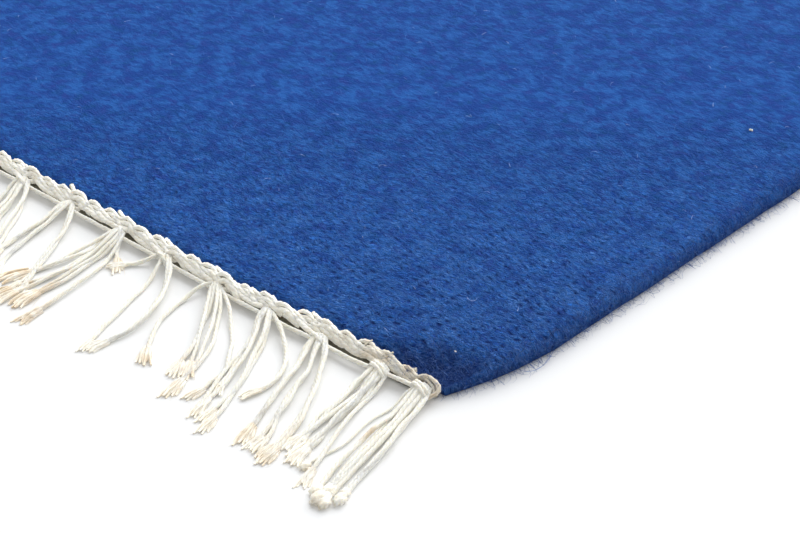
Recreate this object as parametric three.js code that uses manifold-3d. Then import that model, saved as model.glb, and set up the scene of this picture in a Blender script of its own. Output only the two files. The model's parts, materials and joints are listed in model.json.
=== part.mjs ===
// Flat-woven wool rug with a plaited end and a knotted cotton fringe at both ends.
// Millimetres, +Z up. The rug lies flat: origin under its middle, length along Y.

import * as THREE from 'three';
import { mergeVertices } from 'three/addons/utils/BufferGeometryUtils.js';
import Module from 'manifold-3d';

// Cloth
const CLOTH_WIDTH = 600;
const CLOTH_LENGTH = 900;
const CLOTH_THICK = 4.5;
const CORNER_ROUND = 5;      // plan radius where a selvedge meets an end
const DRAW_IN = 6.5;         // how far each selvedge pulls in at the ends
const DRAW_IN_RUN = 36;      // length of selvedge over which it pulls in
const EDGE_WANDER = 0.5;     // the edges are woven by hand, so they wander a little

// End braid: a plait worked along the last weft, standing on the end face of the cloth
const BRAID_GAP = 0.3;
const BRAID_DEPTH = 2.6;
const BRAID_LOW = 2.2;
const BRAID_HIGH = 4.9;
const CORNER_SAG = 1.6;      // the braid sinks this far towards the floor at the corners
const CORNER_SAG_RUN = 26;

// Fringe: a running cord with a row of knotted tassels on it
const FRINGE_GAP = 0.3;
const CORD_THICK = 1.4;
const CORD_HEIGHT = 1.9;     // height of the running cord's middle
const TASSEL_COUNT = 33;
const TASSEL_INSET = 3.8;    // outermost knot's middle, in from the end of the braid
const KNOT_WIDTH = 4.2;
const NECK_WIDTH = 3.4;

const HALF_WIDTH = CLOTH_WIDTH / 2;
const HALF_LENGTH = CLOTH_LENGTH / 2;
const END_HALF_WIDTH = HALF_WIDTH - DRAW_IN;
const BRAID_BACK = HALF_LENGTH + BRAID_GAP;
const BRAID_FRONT = BRAID_BACK + BRAID_DEPTH;
const FRINGE_BACK = BRAID_FRONT + FRINGE_GAP;

// Rings of the cloth's section, from the flat underside round the edge to the flat top.
const EDGE_RINGS = [
  { inset: 2.0, height: 0 },
  { inset: 0.5, height: 0.8 },
  { inset: 0, height: 2.2 },
  { inset: 0.5, height: 3.6 },
  { inset: 2.0, height: 4.5 },
  { inset: 7, height: 4.5 },
  { inset: 15, height: 4.5 },
  { inset: 30, height: 4.5 },
];

// A soft dent in the top beside each corner, where the draw-in pulls the cloth down.
const CORNER_DENTS = [
  { side: 1, end: -1, depth: 1.5, across: 16, along: 5, reachX: 11, reachY: 9 },
  { side: -1, end: -1, depth: 0.9, across: 18, along: 6, reachX: 12, reachY: 9 },
  { side: 1, end: 1, depth: 0.8, across: 15, along: 6, reachX: 10, reachY: 10 },
  { side: -1, end: 1, depth: 1.2, across: 17, along: 5, reachX: 12, reachY: 8 },
];

// Distances from a corner at which the outline has a point: close together near the corner.
const CORNER_STATIONS = [9, 15, 21, 28, 38, 55, 90, 150, 220];

// How each tassel lies, from the corner inwards. Lean is how far its tip lies to the side of its
// knot, bow how far its middle bulges that way, reach how far its tip lies out from the cloth.
// Middle and tip are the bundle's width there. The loose columns place its one loose cord, where
// one lies apart from the bundle.
const TASSEL_LIES = [
  { shift: 0.0, lean: 11, bow: 1.4, reach: 46, middle: 6.5, tip: 8, looseLean: 2, looseBow: -1, looseReach: 43 },
  { shift: 3.4, lean: 8, bow: 2.2, reach: 40, middle: 6.5, tip: 10 },
  { shift: 2.9, lean: 20, bow: 2.6, reach: 44, middle: 10, tip: 9 },
  { shift: 3.4, lean: 21, bow: 2.8, reach: 45, middle: 8.5, tip: 10, looseLean: 23, looseBow: 5, looseReach: 31 },
  { shift: 3.6, lean: 25, bow: 3.5, reach: 42, middle: 12, tip: 9, looseLean: 13, looseBow: -3, looseReach: 39 },
  { shift: 3.0, lean: 18, bow: 3.0, reach: 43, middle: 6.5, tip: 5, looseLean: -5, looseBow: 1, looseReach: 17 },
  { shift: 2.7, lean: 6, bow: 1.4, reach: 45, middle: 10, tip: 14, looseLean: 13, looseBow: 2, looseReach: 47 },
  { shift: 0.3, lean: 20, bow: 4.0, reach: 39, middle: 6, tip: 5, looseLean: 5, looseBow: 1, looseReach: 33 },
  { shift: -0.6, lean: 20, bow: 2.5, reach: 41, middle: 12, tip: 10 },
  { shift: -0.4, lean: 15, bow: 2.0, reach: 43, middle: 8, tip: 9, looseLean: 19, looseBow: 3, looseReach: 36 },
];

// Each further run of ten tassels repeats the lies a little straighter and shorter, and keeps
// its loose cords in the bundles.
const RUN_CHANGES = [
  { lean: 1, reach: 1, loose: true },
  { lean: 0.8, reach: 0.97, loose: false },
  { lean: 0.6, reach: 0.98, loose: false },
  { lean: 0.75, reach: 0.95, loose: false },
];

// Sections of a tassel from its knot (along 0) to its tip (along 1). Spread mixes from the neck's
// width to the middle's, splay from the middle's to the tip's.
const TASSEL_SECTIONS = [
  { along: 0, width: KNOT_WIDTH, height: 3.4, lift: 0.5 },
  { along: 0.12, width: NECK_WIDTH, height: 2.6, lift: 0.3 },
  { along: 0.33, spread: 0.7, height: 1.9, lift: 0 },
  { along: 0.62, splay: 0.2, height: 1.8, lift: 0 },
  { along: 1, splay: 1, height: 2.3, lift: 0 },
];
const LOOSE_SECTIONS = [
  { along: 0.05, height: 1.3, lift: 1.4 },
  { along: 0.36, height: 1.3, lift: 0.5 },
  { along: 0.68, height: 1.3, lift: 0.1 },
  { along: 1, height: 1.3, lift: 0 },
];
const LOOSE_WIDTH = 1.5;

const WOOL_BLUE = new THREE.MeshStandardMaterial({ color: '#2c539b', roughness: 0.95, metalness: 0 });
const BRAID_CREAM = new THREE.MeshStandardMaterial({ color: '#ddd6c4', roughness: 0.9, metalness: 0 });
const FRINGE_CREAM = new THREE.MeshStandardMaterial({ color: '#ece8dc', roughness: 0.9, metalness: 0 });

const { clamp, lerp, smoothstep } = THREE.MathUtils;

// ---------------------------------------------------------------- solids from sections

/** A closed solid from rings of points, all with the same count, capped flat at both ends. */
function loftSolid(rings) {
  const count = rings[0].length;
  const positions = rings.flat().flatMap((point) => [point.x, point.y, point.z]);
  const index = [];
  for (let r = 0; r < rings.length - 1; r += 1) {
    for (let k = 0; k < count; k += 1) {
      const a = r * count + k;
      const b = r * count + ((k + 1) % count);
      index.push(a, b, b + count, a, b + count, a + count);
    }
  }
  const last = (rings.length - 1) * count;
  for (const [p, q, s] of capTriangles(rings[0])) {
    index.push(p, s, q);
  }
  for (const [p, q, s] of capTriangles(rings.at(-1))) {
    index.push(last + p, last + q, last + s);
  }
  const geometry = new THREE.BufferGeometry();
  geometry.setAttribute('position', new THREE.Float32BufferAttribute(positions, 3));
  geometry.setIndex(index);
  return geometry;
}

/** Triangles of a flat ring, wound the same way as the ring itself. */
function capTriangles(ring) {
  const normal = new THREE.Vector3();
  ring.forEach((point, k) => normal.add(point.clone().cross(ring[(k + 1) % ring.length])));
  normal.normalize();
  const turn = new THREE.Quaternion().setFromUnitVectors(normal, new THREE.Vector3(0, 0, 1));
  const flat = ring.map((point) => {
    const turned = point.clone().applyQuaternion(turn);
    return new THREE.Vector2(turned.x, turned.y);
  });
  return THREE.ShapeUtils.triangulateShape(flat, []);
}

/** The solids joined into one. */
function joinSolids(wasm, geometries) {
  const solids = geometries.map((geometry) => {
    const merged = mergeVertices(geometry);
    return new wasm.Manifold(new wasm.Mesh({
      numProp: 3,
      vertProperties: new Float32Array(merged.attributes.position.array),
      triVerts: new Uint32Array(merged.index.array),
    }));
  });
  const joined = solids.reduce((whole, solid) => whole.add(solid)).getMesh();
  const geometry = new THREE.BufferGeometry();
  geometry.setAttribute('position', new THREE.BufferAttribute(joined.vertProperties, 3));
  geometry.setIndex(new THREE.BufferAttribute(joined.triVerts, 1));
  return geometry;
}

// ---------------------------------------------------------------- cloth

/** Half the cloth's width at a place along its length: drawn in near the ends. */
function halfWidthAt(y) {
  const drawn = clamp(1 - (HALF_LENGTH - Math.abs(y)) / DRAW_IN_RUN, 0, 1) ** 2;
  const free = smoothstep(HALF_LENGTH - Math.abs(y), 0, 2 * DRAW_IN_RUN);
  return HALF_WIDTH - DRAW_IN * drawn - EDGE_WANDER * free * (0.5 + 0.5 * Math.sin(y / 47));
}

/** How much the top sinks into the corner dents at a place in plan. */
function dentAt(x, y) {
  return CORNER_DENTS.reduce((sum, dent) => {
    const away = (x - dent.side * (HALF_WIDTH - dent.across)) / dent.reachX;
    const out = (y - dent.end * (HALF_LENGTH - dent.along)) / dent.reachY;
    return sum + dent.depth * Math.exp(-away * away - out * out);
  }, 0);
}

/** Places along one side of the outline, from one corner to the other. */
function sideStations(half) {
  const near = CORNER_STATIONS.map((distance) => half - distance).filter((place) => place > 0);
  return [...near, 0, ...near.toReversed().map((place) => -place)];
}

/** The outline of a rectangle with round corners, anticlockwise, set in by an amount. */
function outline(inset) {
  const a = HALF_WIDTH - inset;
  const b = HALF_LENGTH - inset;
  const radius = Math.max(CORNER_ROUND - inset, 0.5);
  const points = [];
  const corner = (sideX, sideY, startDegrees) => {
    for (const step of [0, 45, 90]) {
      const turn = THREE.MathUtils.degToRad(startDegrees + step);
      const x = sideX * (a - radius) + radius * Math.cos(turn);
      points.push(new THREE.Vector2(x, sideY * (b - radius) + radius * Math.sin(turn)));
    }
  };
  const shrinkX = a / HALF_WIDTH;
  const shrinkY = b / HALF_LENGTH;
  corner(1, 1, 0);
  sideStations(HALF_WIDTH).forEach((x) => points.push(new THREE.Vector2(x * shrinkX, b)));
  corner(-1, 1, 90);
  sideStations(HALF_LENGTH).forEach((y) => points.push(new THREE.Vector2(-a, y * shrinkY)));
  corner(-1, -1, 180);
  sideStations(HALF_WIDTH).forEach((x) => points.push(new THREE.Vector2(-x * shrinkX, -b)));
  corner(1, -1, 270);
  sideStations(HALF_LENGTH).forEach((y) => points.push(new THREE.Vector2(a, -y * shrinkY)));
  return points;
}

/** The woven cloth: one flat slab with round edges, drawn-in corners and soft corner dents. */
function fieldSolid() {
  const rings = EDGE_RINGS.map(({ inset, height }) => outline(inset).map((point) => {
    const x = point.x * halfWidthAt(point.y) / HALF_WIDTH;
    const onTop = smoothstep(height, CLOTH_THICK / 2, CLOTH_THICK);
    return new THREE.Vector3(x, point.y, height - onTop * dentAt(x, point.y));
  }));
  return loftSolid(rings);
}

// ---------------------------------------------------------------- ends

/** How far the end trim sinks towards the floor at a place along the end. */
function sagAt(x) {
  return smoothstep(Math.abs(x), END_HALF_WIDTH - CORNER_SAG_RUN, END_HALF_WIDTH);
}

/** Places along the end, closer together where the trim sinks at the corners. */
function endStations(half) {
  const places = [half, half - 8, half - 16, half - CORNER_SAG_RUN, half * 0.6, half * 0.2];
  return [...places, ...places.toReversed().map((x) => -x)];
}

/** The plait along the end: a strip with a rounded top, lower at the corners. */
function braidSolid() {
  const middle = -(BRAID_BACK + BRAID_FRONT) / 2;
  const edge = BRAID_DEPTH / 2;
  return loftSolid(endStations(END_HALF_WIDTH).map((x) => {
    const sag = CORNER_SAG * sagAt(x);
    const low = BRAID_LOW - sag;
    const high = BRAID_HIGH - sag;
    const waist = lerp(low, high, 0.5);
    return [
      new THREE.Vector3(x, middle - edge, waist),
      new THREE.Vector3(x, middle - edge * 0.5, high),
      new THREE.Vector3(x, middle + edge * 0.5, high),
      new THREE.Vector3(x, middle + edge, waist),
      new THREE.Vector3(x, middle + edge * 0.5, low),
      new THREE.Vector3(x, middle - edge * 0.5, low),
    ];
  }));
}

/** The cord that runs from knot to knot along the end. */
function runningCordSolid() {
  const sides = 6;
  const radius = CORD_THICK / 2;
  return loftSolid(endStations(END_HALF_WIDTH - 1.5).map((x) => {
    const height = CORD_HEIGHT - 0.5 * CORNER_SAG * sagAt(x);
    return Array.from({ length: sides }, (_, k) => {
      const turn = 2 * Math.PI * k / sides;
      const y = -(FRINGE_BACK + radius) - radius * Math.cos(turn);
      return new THREE.Vector3(x, y, height + radius * Math.sin(turn));
    });
  }));
}

/** Where a bundle that leaves a knot lies in plan, and which way is across it. */
function bundlePlace(knotX, lean, bow, reach, along) {
  const run = HALF_LENGTH + reach - FRINGE_BACK;
  const x = knotX + lean * along + bow * 4 * along * (1 - along);
  const y = -(FRINGE_BACK + run * along);
  const slope = along === 0 ? 0 : (lean + bow * 4 * (1 - 2 * along)) / run;
  return { x, y, across: new THREE.Vector2(1, slope).normalize() };
}

/** One section of a bundle: a ring of points across its run, given as shares of its size. */
function bundleSection(place, width, height, lift, shares) {
  return shares.map(([across, up]) => new THREE.Vector3(
    place.x + place.across.x * across * width,
    place.y + place.across.y * across * width,
    lift + up * height,
  ));
}

/** Width of a tassel at one of its sections. */
function tasselWidth(section, lie) {
  if (section.width) {
    return section.width;
  }
  return section.spread ? lerp(NECK_WIDTH, lie.middle, section.spread) : lerp(lie.middle, lie.tip, section.splay);
}

/** A tassel's knot and the bundle of cords that lies out from it. */
function tasselSolid(knotX, lie) {
  const shares = [[-0.28, 0], [0.28, 0], [0.5, 0.45], [0.28, 1], [-0.28, 1], [-0.5, 0.45]];
  return loftSolid(TASSEL_SECTIONS.map((section) => {
    const place = bundlePlace(knotX, lie.lean, lie.bow, lie.reach, section.along);
    return bundleSection(place, tasselWidth(section, lie), section.height, section.lift, shares);
  }));
}

/** The one cord of a tassel that lies apart from its bundle. */
function looseCordSolid(knotX, lie) {
  const shares = [[-0.5, 0], [0.5, 0], [0.5, 1], [-0.5, 1]];
  return loftSolid(LOOSE_SECTIONS.map(({ along, height, lift }) => {
    const place = bundlePlace(knotX, lie.looseLean, lie.looseBow, lie.looseReach, along);
    return bundleSection(place, LOOSE_WIDTH, height, lift, shares);
  }));
}

/** The lie of the tassel at a place in the row: the table first, then its quieter repeats. */
function lieOf(tassel, step) {
  const change = RUN_CHANGES[clamp(Math.floor(tassel / TASSEL_LIES.length), 0, RUN_CHANGES.length - 1)];
  const lie = TASSEL_LIES[(tassel * step) % TASSEL_LIES.length];
  return {
    ...lie,
    lean: lie.lean * change.lean,
    reach: lie.reach * change.reach,
    hasLoose: change.loose && lie.looseReach !== undefined,
  };
}

/** The whole fringe of one end as one comb: running cord, knots, tassels and loose cords. */
function fringeSolid(wasm, step) {
  const firstKnot = END_HALF_WIDTH - TASSEL_INSET;
  const pitch = 2 * firstKnot / (TASSEL_COUNT - 1);
  const solids = [runningCordSolid()];
  for (let tassel = 0; tassel < TASSEL_COUNT; tassel += 1) {
    const lie = lieOf(tassel, step);
    const knotX = firstKnot - tassel * pitch + lie.shift;
    solids.push(tasselSolid(knotX, lie));
    if (lie.hasLoose) {
      solids.push(looseCordSolid(knotX, lie));
    }
  }
  return joinSolids(wasm, solids);
}

// ---------------------------------------------------------------- assembly

/** A named mesh. */
function piece(name, geometry, material) {
  const mesh = new THREE.Mesh(geometry, material);
  mesh.name = name;
  return mesh;
}

/** One end's trim: its braid and its fringe. */
function endTrim(wasm, end, step) {
  const trim = new THREE.Group();
  trim.add(piece(`end_braid_${end}`, braidSolid(), BRAID_CREAM));
  trim.add(piece(`fringe_${end}`, fringeSolid(wasm, step), FRINGE_CREAM));
  return trim;
}

const wasm = await Module();
wasm.setup();

const rug = new THREE.Group();
rug.add(piece('rug_field', fieldSolid(), WOOL_BLUE));
rug.add(endTrim(wasm, 'front', 1));
const backTrim = endTrim(wasm, 'back', 3);
backTrim.rotation.z = Math.PI;
rug.add(backTrim);

export default rug;
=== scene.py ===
"""Kilim rug: woven wool cloth with a plaited end and a knotted cotton fringe at both ends."""

import json
import logging
import math
from collections.abc import Iterable, Sequence
from dataclasses import dataclass, field
from enum import Enum

import bpy
import numpy as np
from bpy.types import Collection, Material, Node, NodeSocket, NodeTree, Object, World
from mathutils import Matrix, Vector

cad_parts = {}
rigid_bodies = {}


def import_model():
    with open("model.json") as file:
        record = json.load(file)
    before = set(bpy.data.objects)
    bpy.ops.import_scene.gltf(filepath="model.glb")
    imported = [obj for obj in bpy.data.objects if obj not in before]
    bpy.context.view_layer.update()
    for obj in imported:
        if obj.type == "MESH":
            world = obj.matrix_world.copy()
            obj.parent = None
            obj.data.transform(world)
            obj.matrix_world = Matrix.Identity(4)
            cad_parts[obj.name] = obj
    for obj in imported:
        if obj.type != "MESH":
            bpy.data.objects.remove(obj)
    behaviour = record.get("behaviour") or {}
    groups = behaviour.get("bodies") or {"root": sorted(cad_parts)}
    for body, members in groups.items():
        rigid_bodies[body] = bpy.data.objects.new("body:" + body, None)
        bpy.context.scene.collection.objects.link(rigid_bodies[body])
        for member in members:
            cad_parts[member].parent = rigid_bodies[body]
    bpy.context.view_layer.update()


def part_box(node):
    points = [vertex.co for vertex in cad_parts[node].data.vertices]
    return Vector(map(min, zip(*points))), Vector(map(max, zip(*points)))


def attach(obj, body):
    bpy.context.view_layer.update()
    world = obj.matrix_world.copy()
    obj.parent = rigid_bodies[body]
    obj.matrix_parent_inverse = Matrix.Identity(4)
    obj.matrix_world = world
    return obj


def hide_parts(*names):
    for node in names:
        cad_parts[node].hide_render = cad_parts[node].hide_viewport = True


LOG = logging.getLogger("kilim_rug")
CLOTH_MAP = "cloth"
FULL_TURN = 2 * math.pi
BLACK = (0, 0, 0, 1)

# Metres: a millimetre, a place beyond the rug, and how low a strand may lie over the floor.
MM = 0.001
FAR = 10.0
FLOOR_GAP = 0.02 * MM


class End(Enum):
    """The two ends of the rug, and which way along Y each one lies."""

    FRONT = -1
    BACK = 1

    @property
    def label(self) -> str:
        """The end's name as the nodes spell it."""
        return self.name.lower()


# ------------------------------------------------------------------ node and mesh tools


def add_node(tree: NodeTree, kind: str, settings: dict | None = None, inputs: dict | None = None) -> Node:
    """Adds a node and fills it in.

    Args:
        tree: The node tree that gets the node.
        kind: The node's type name.
        settings: Properties of the node by name.
        inputs: Values or sockets by input name or number.

    Returns:
        The new node.
    """
    made = tree.nodes.new(kind)
    for name, value in (settings or {}).items():
        setattr(made, name, value)
    for key, value in (inputs or {}).items():
        if isinstance(value, NodeSocket):
            tree.links.new(value, made.inputs[key])
        else:
            made.inputs[key].default_value = value
    return made


def sums(tree: NodeTree, operation: str, *values: float | NodeSocket) -> NodeSocket:
    """Adds a Math node.

    Args:
        tree: The node tree.
        operation: The Math node's operation.
        *values: Numbers or sockets, in order.

    Returns:
        The result's socket.
    """
    return add_node(tree, "ShaderNodeMath", {"operation": operation}, dict(enumerate(values))).outputs[0]


def blend_colours(tree: NodeTree, factor: NodeSocket | float, first: Sequence[float] | NodeSocket,
                  second: Sequence[float] | NodeSocket) -> NodeSocket:
    """Mixes two colours.

    Args:
        tree: The node tree.
        factor: 0 for the first colour, 1 for the second.
        first: A colour or its socket.
        second: A colour or its socket.

    Returns:
        The mixed colour's socket.
    """
    mix = add_node(tree, "ShaderNodeMix", {"data_type": "RGBA"}, {0: factor, 6: first, 7: second})
    return mix.outputs[2]


def remap(tree: NodeTree, value: NodeSocket, span: Sequence[float], onto: Sequence[float] = (0.0, 1.0),
          smooth: bool = False) -> NodeSocket:
    """Adds a Map Range node, which keeps within its ends.

    Args:
        tree: The node tree.
        value: The value's socket.
        span: The values at which the two ends are reached.
        onto: What the two ends become.
        smooth: Whether it eases in and out between them.

    Returns:
        The result's socket.
    """
    inputs = {"Value": value, "From Min": span[0], "From Max": span[1], "To Min": onto[0], "To Max": onto[1]}
    pace = "SMOOTHSTEP" if smooth else "LINEAR"
    return add_node(tree, "ShaderNodeMapRange", {"interpolation_type": pace}, inputs).outputs[0]


def clouds(tree: NodeTree, place: NodeSocket, scale: float, detail: float = 2.0, roughness: float = 0.5,
           flat: bool = False) -> Node:
    """Adds a Noise Texture node.

    Args:
        tree: The node tree.
        place: The place's socket.
        scale: How many clouds there are to a unit.
        detail: How many finer layers they have.
        roughness: How strong the finer layers are.
        flat: Whether the pattern is worked out in the plane.

    Returns:
        The node, with its Fac and Color outputs.
    """
    return add_node(tree, "ShaderNodeTexNoise", {"noise_dimensions": "2D" if flat else "3D"},
                    {"Vector": place, "Scale": scale, "Detail": detail, "Roughness": roughness})


def turned_place(tree: NodeTree, place: NodeSocket, turn: float, scale: tuple,
                 shift: float = 0.0) -> NodeSocket:
    """Turns and stretches a place in the plane, so that a pattern is drawn out along a slant.

    Args:
        tree: The node tree.
        place: The place's socket.
        turn: The slant, in radians.
        scale: How much closer the pattern is along X and Y.
        shift: How far the pattern is moved along both.

    Returns:
        The new place's socket.
    """
    return add_node(tree, "ShaderNodeMapping", {},
                    {"Vector": place, "Location": (shift, shift, 0), "Rotation": (0, 0, turn),
                     "Scale": (*scale, 1)}).outputs[0]


def new_shader(name: str) -> tuple[Material, NodeTree, Node]:
    """Starts a node material.

    Args:
        name: The material's name.

    Returns:
        The material, its emptied tree and its Material Output node.
    """
    material = bpy.data.materials.new(name)
    material.use_nodes = True
    tree = material.node_tree
    tree.nodes.clear()
    return material, tree, tree.nodes.new("ShaderNodeOutputMaterial")


def new_geometry_tree(name: str, inputs: dict[str, str]) -> tuple[NodeTree, Node, Node]:
    """Starts a Geometry Nodes tree with a geometry input and output.

    Args:
        name: The tree's name.
        inputs: The socket types of further inputs, by their names.

    Returns:
        The tree, its Group Input and its Group Output.
    """
    tree = bpy.data.node_groups.new(name, "GeometryNodeTree")
    tree.interface.new_socket("Geometry", in_out="INPUT", socket_type="NodeSocketGeometry")
    tree.interface.new_socket("Geometry", in_out="OUTPUT", socket_type="NodeSocketGeometry")
    for label, kind in inputs.items():
        tree.interface.new_socket(label, in_out="INPUT", socket_type=kind)
    return tree, tree.nodes.new("NodeGroupInput"), tree.nodes.new("NodeGroupOutput")


def mesh_object(name: str, points: np.ndarray, edges: Iterable = (), faces: Iterable = ()) -> Object:
    """Makes a mesh object in the scene.

    Args:
        name: The object's name.
        points: The vertices, in metres.
        edges: Pairs of vertex numbers.
        faces: Rings of vertex numbers.

    Returns:
        The object, at the origin.
    """
    mesh = bpy.data.meshes.new(name)
    mesh.from_pydata([tuple(point) for point in points], [tuple(e) for e in edges], [tuple(f) for f in faces])
    made = bpy.data.objects.new(name, mesh)
    bpy.context.scene.collection.objects.link(made)
    return made


def set_attribute(target: Object, name: str, kind: str, values: np.ndarray) -> None:
    """Stores one value for each vertex.

    Args:
        target: The mesh object.
        name: The attribute's name.
        kind: FLOAT or FLOAT_VECTOR.
        values: The values, in vertex order.
    """
    layer = target.data.attributes.new(name, kind, "POINT")
    channel = "vector" if kind == "FLOAT_VECTOR" else "value"
    layer.data.foreach_set(channel, np.asarray(values, np.float32).ravel())


def grown(source: Object, tree: NodeTree, values: dict[str, object], name: str) -> Object:
    """Runs a Geometry Nodes tree on an object and keeps the result as a plain mesh.

    Args:
        source: The object that the tree works on. It is removed.
        tree: The Geometry Nodes tree.
        values: Input values by input name.
        name: The result's name.

    Returns:
        A new mesh object without modifiers.
    """
    modifier = source.modifiers.new(tree.name, "NODES")
    modifier.node_group = tree
    identifiers = {item.name: item.identifier for item in tree.interface.items_tree if item.in_out == "INPUT"}
    for label, value in values.items():
        modifier[identifiers[label]] = value
    graph = bpy.context.evaluated_depsgraph_get()
    mesh = bpy.data.meshes.new_from_object(source.evaluated_get(graph), depsgraph=graph)
    mesh.name = name
    source.modifiers.remove(modifier)
    bpy.data.objects.remove(source)
    made = bpy.data.objects.new(name, mesh)
    bpy.context.scene.collection.objects.link(made)
    return made


def named_value(tree: NodeTree, name: str, kind: str = "FLOAT") -> NodeSocket:
    """A stored attribute of the geometry, by its name."""
    return add_node(tree, "GeometryNodeInputNamedAttribute", {"data_type": kind}, {"Name": name}).outputs[0]


def random_value(tree: NodeTree, low: float, high: float, seed: int) -> NodeSocket:
    """A random number between two limits, for each point or member."""
    return add_node(tree, "FunctionNodeRandomValue", {}, {"Min": low, "Max": high, "Seed": seed}).outputs[1]


def kept_above_floor(tree: NodeTree, geometry: NodeSocket) -> NodeSocket:
    """Presses whatever would lie under the floor flat on to it.

    Args:
        tree: The Geometry Nodes tree.
        geometry: The geometry's socket.

    Returns:
        The new geometry's socket.
    """
    spot = add_node(tree, "GeometryNodeInputPosition")
    raised = add_node(tree, "ShaderNodeVectorMath", {"operation": "MAXIMUM"},
                      {0: spot.outputs[0], 1: (-FAR, -FAR, FLOOR_GAP)})
    return add_node(tree, "GeometryNodeSetPosition", {},
                    {"Geometry": geometry, "Position": raised.outputs[0]}).outputs[0]


def finished(tree: NodeTree, geometry: NodeSocket, finish: NodeSocket) -> NodeSocket:
    """Keeps a piece above the floor and gives it its material.

    Args:
        tree: The Geometry Nodes tree.
        geometry: The geometry's socket.
        finish: The material's socket.

    Returns:
        The new geometry's socket.
    """
    return add_node(tree, "GeometryNodeSetMaterial", {},
                    {"Geometry": kept_above_floor(tree, geometry), "Material": finish}).outputs[0]


def strewn(tree: NodeTree, points: NodeSocket, variants: NodeSocket, turn: NodeSocket, size: NodeSocket,
           pick: NodeSocket | None = None) -> NodeSocket:
    """Sets one member of a collection on each point, as plain mesh.

    Args:
        tree: The Geometry Nodes tree.
        points: The points' socket.
        variants: The collection's socket.
        turn: The rotation's socket.
        size: The scale's socket.
        pick: The socket of the member's number. Without it the members take turns.

    Returns:
        The mesh's socket.
    """
    members = add_node(tree, "GeometryNodeCollectionInfo", {},
                       {"Collection": variants, "Separate Children": True, "Reset Children": True})
    choice = {} if pick is None else {"Instance Index": pick}
    placed = add_node(tree, "GeometryNodeInstanceOnPoints", {},
                      {"Points": points, "Instance": members.outputs[0], "Pick Instance": True,
                       "Rotation": turn, "Scale": size, **choice})
    return add_node(tree, "GeometryNodeRealizeInstances", {}, {0: placed.outputs[0]}).outputs[0]


def taken_out(piece: Object, home: Collection) -> None:
    """Moves an object from the scene into a collection of its own."""
    bpy.context.scene.collection.objects.unlink(piece)
    home.objects.link(piece)


def clear_collection(home: Collection) -> None:
    """Removes a collection and the objects in it."""
    for member in list(home.objects):
        bpy.data.objects.remove(member)
    bpy.data.collections.remove(home)


def smooth_step(value: np.ndarray, low: float, high: float) -> np.ndarray:
    """0 below low, 1 above high and a smooth rise between them."""
    share = np.clip((value - low) / (high - low), 0, 1)
    return share * share * (3 - 2 * share)


def ripple(x: np.ndarray, y: np.ndarray, length: float, seed: int, waves: int = 9) -> np.ndarray:
    """A smooth uneven pattern made of a few crossing waves.

    Args:
        x: Places along X.
        y: Places along Y.
        length: The mean wave length, in the units of x and y.
        seed: Picks the pattern.
        waves: How many waves cross.

    Returns:
        Values of about -1 to 1.
    """
    draw = np.random.default_rng(seed)
    total = np.zeros(np.broadcast(x, y).shape)
    for _ in range(waves):
        heading, phase = draw.uniform(0, FULL_TURN, 2)
        pace = FULL_TURN / (length * draw.uniform(0.6, 1.6))
        total += np.sin(pace * (x * math.cos(heading) + y * math.sin(heading)) + phase)
    return total / math.sqrt(2 * waves)


# ------------------------------------------------------------------ finishes


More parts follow.
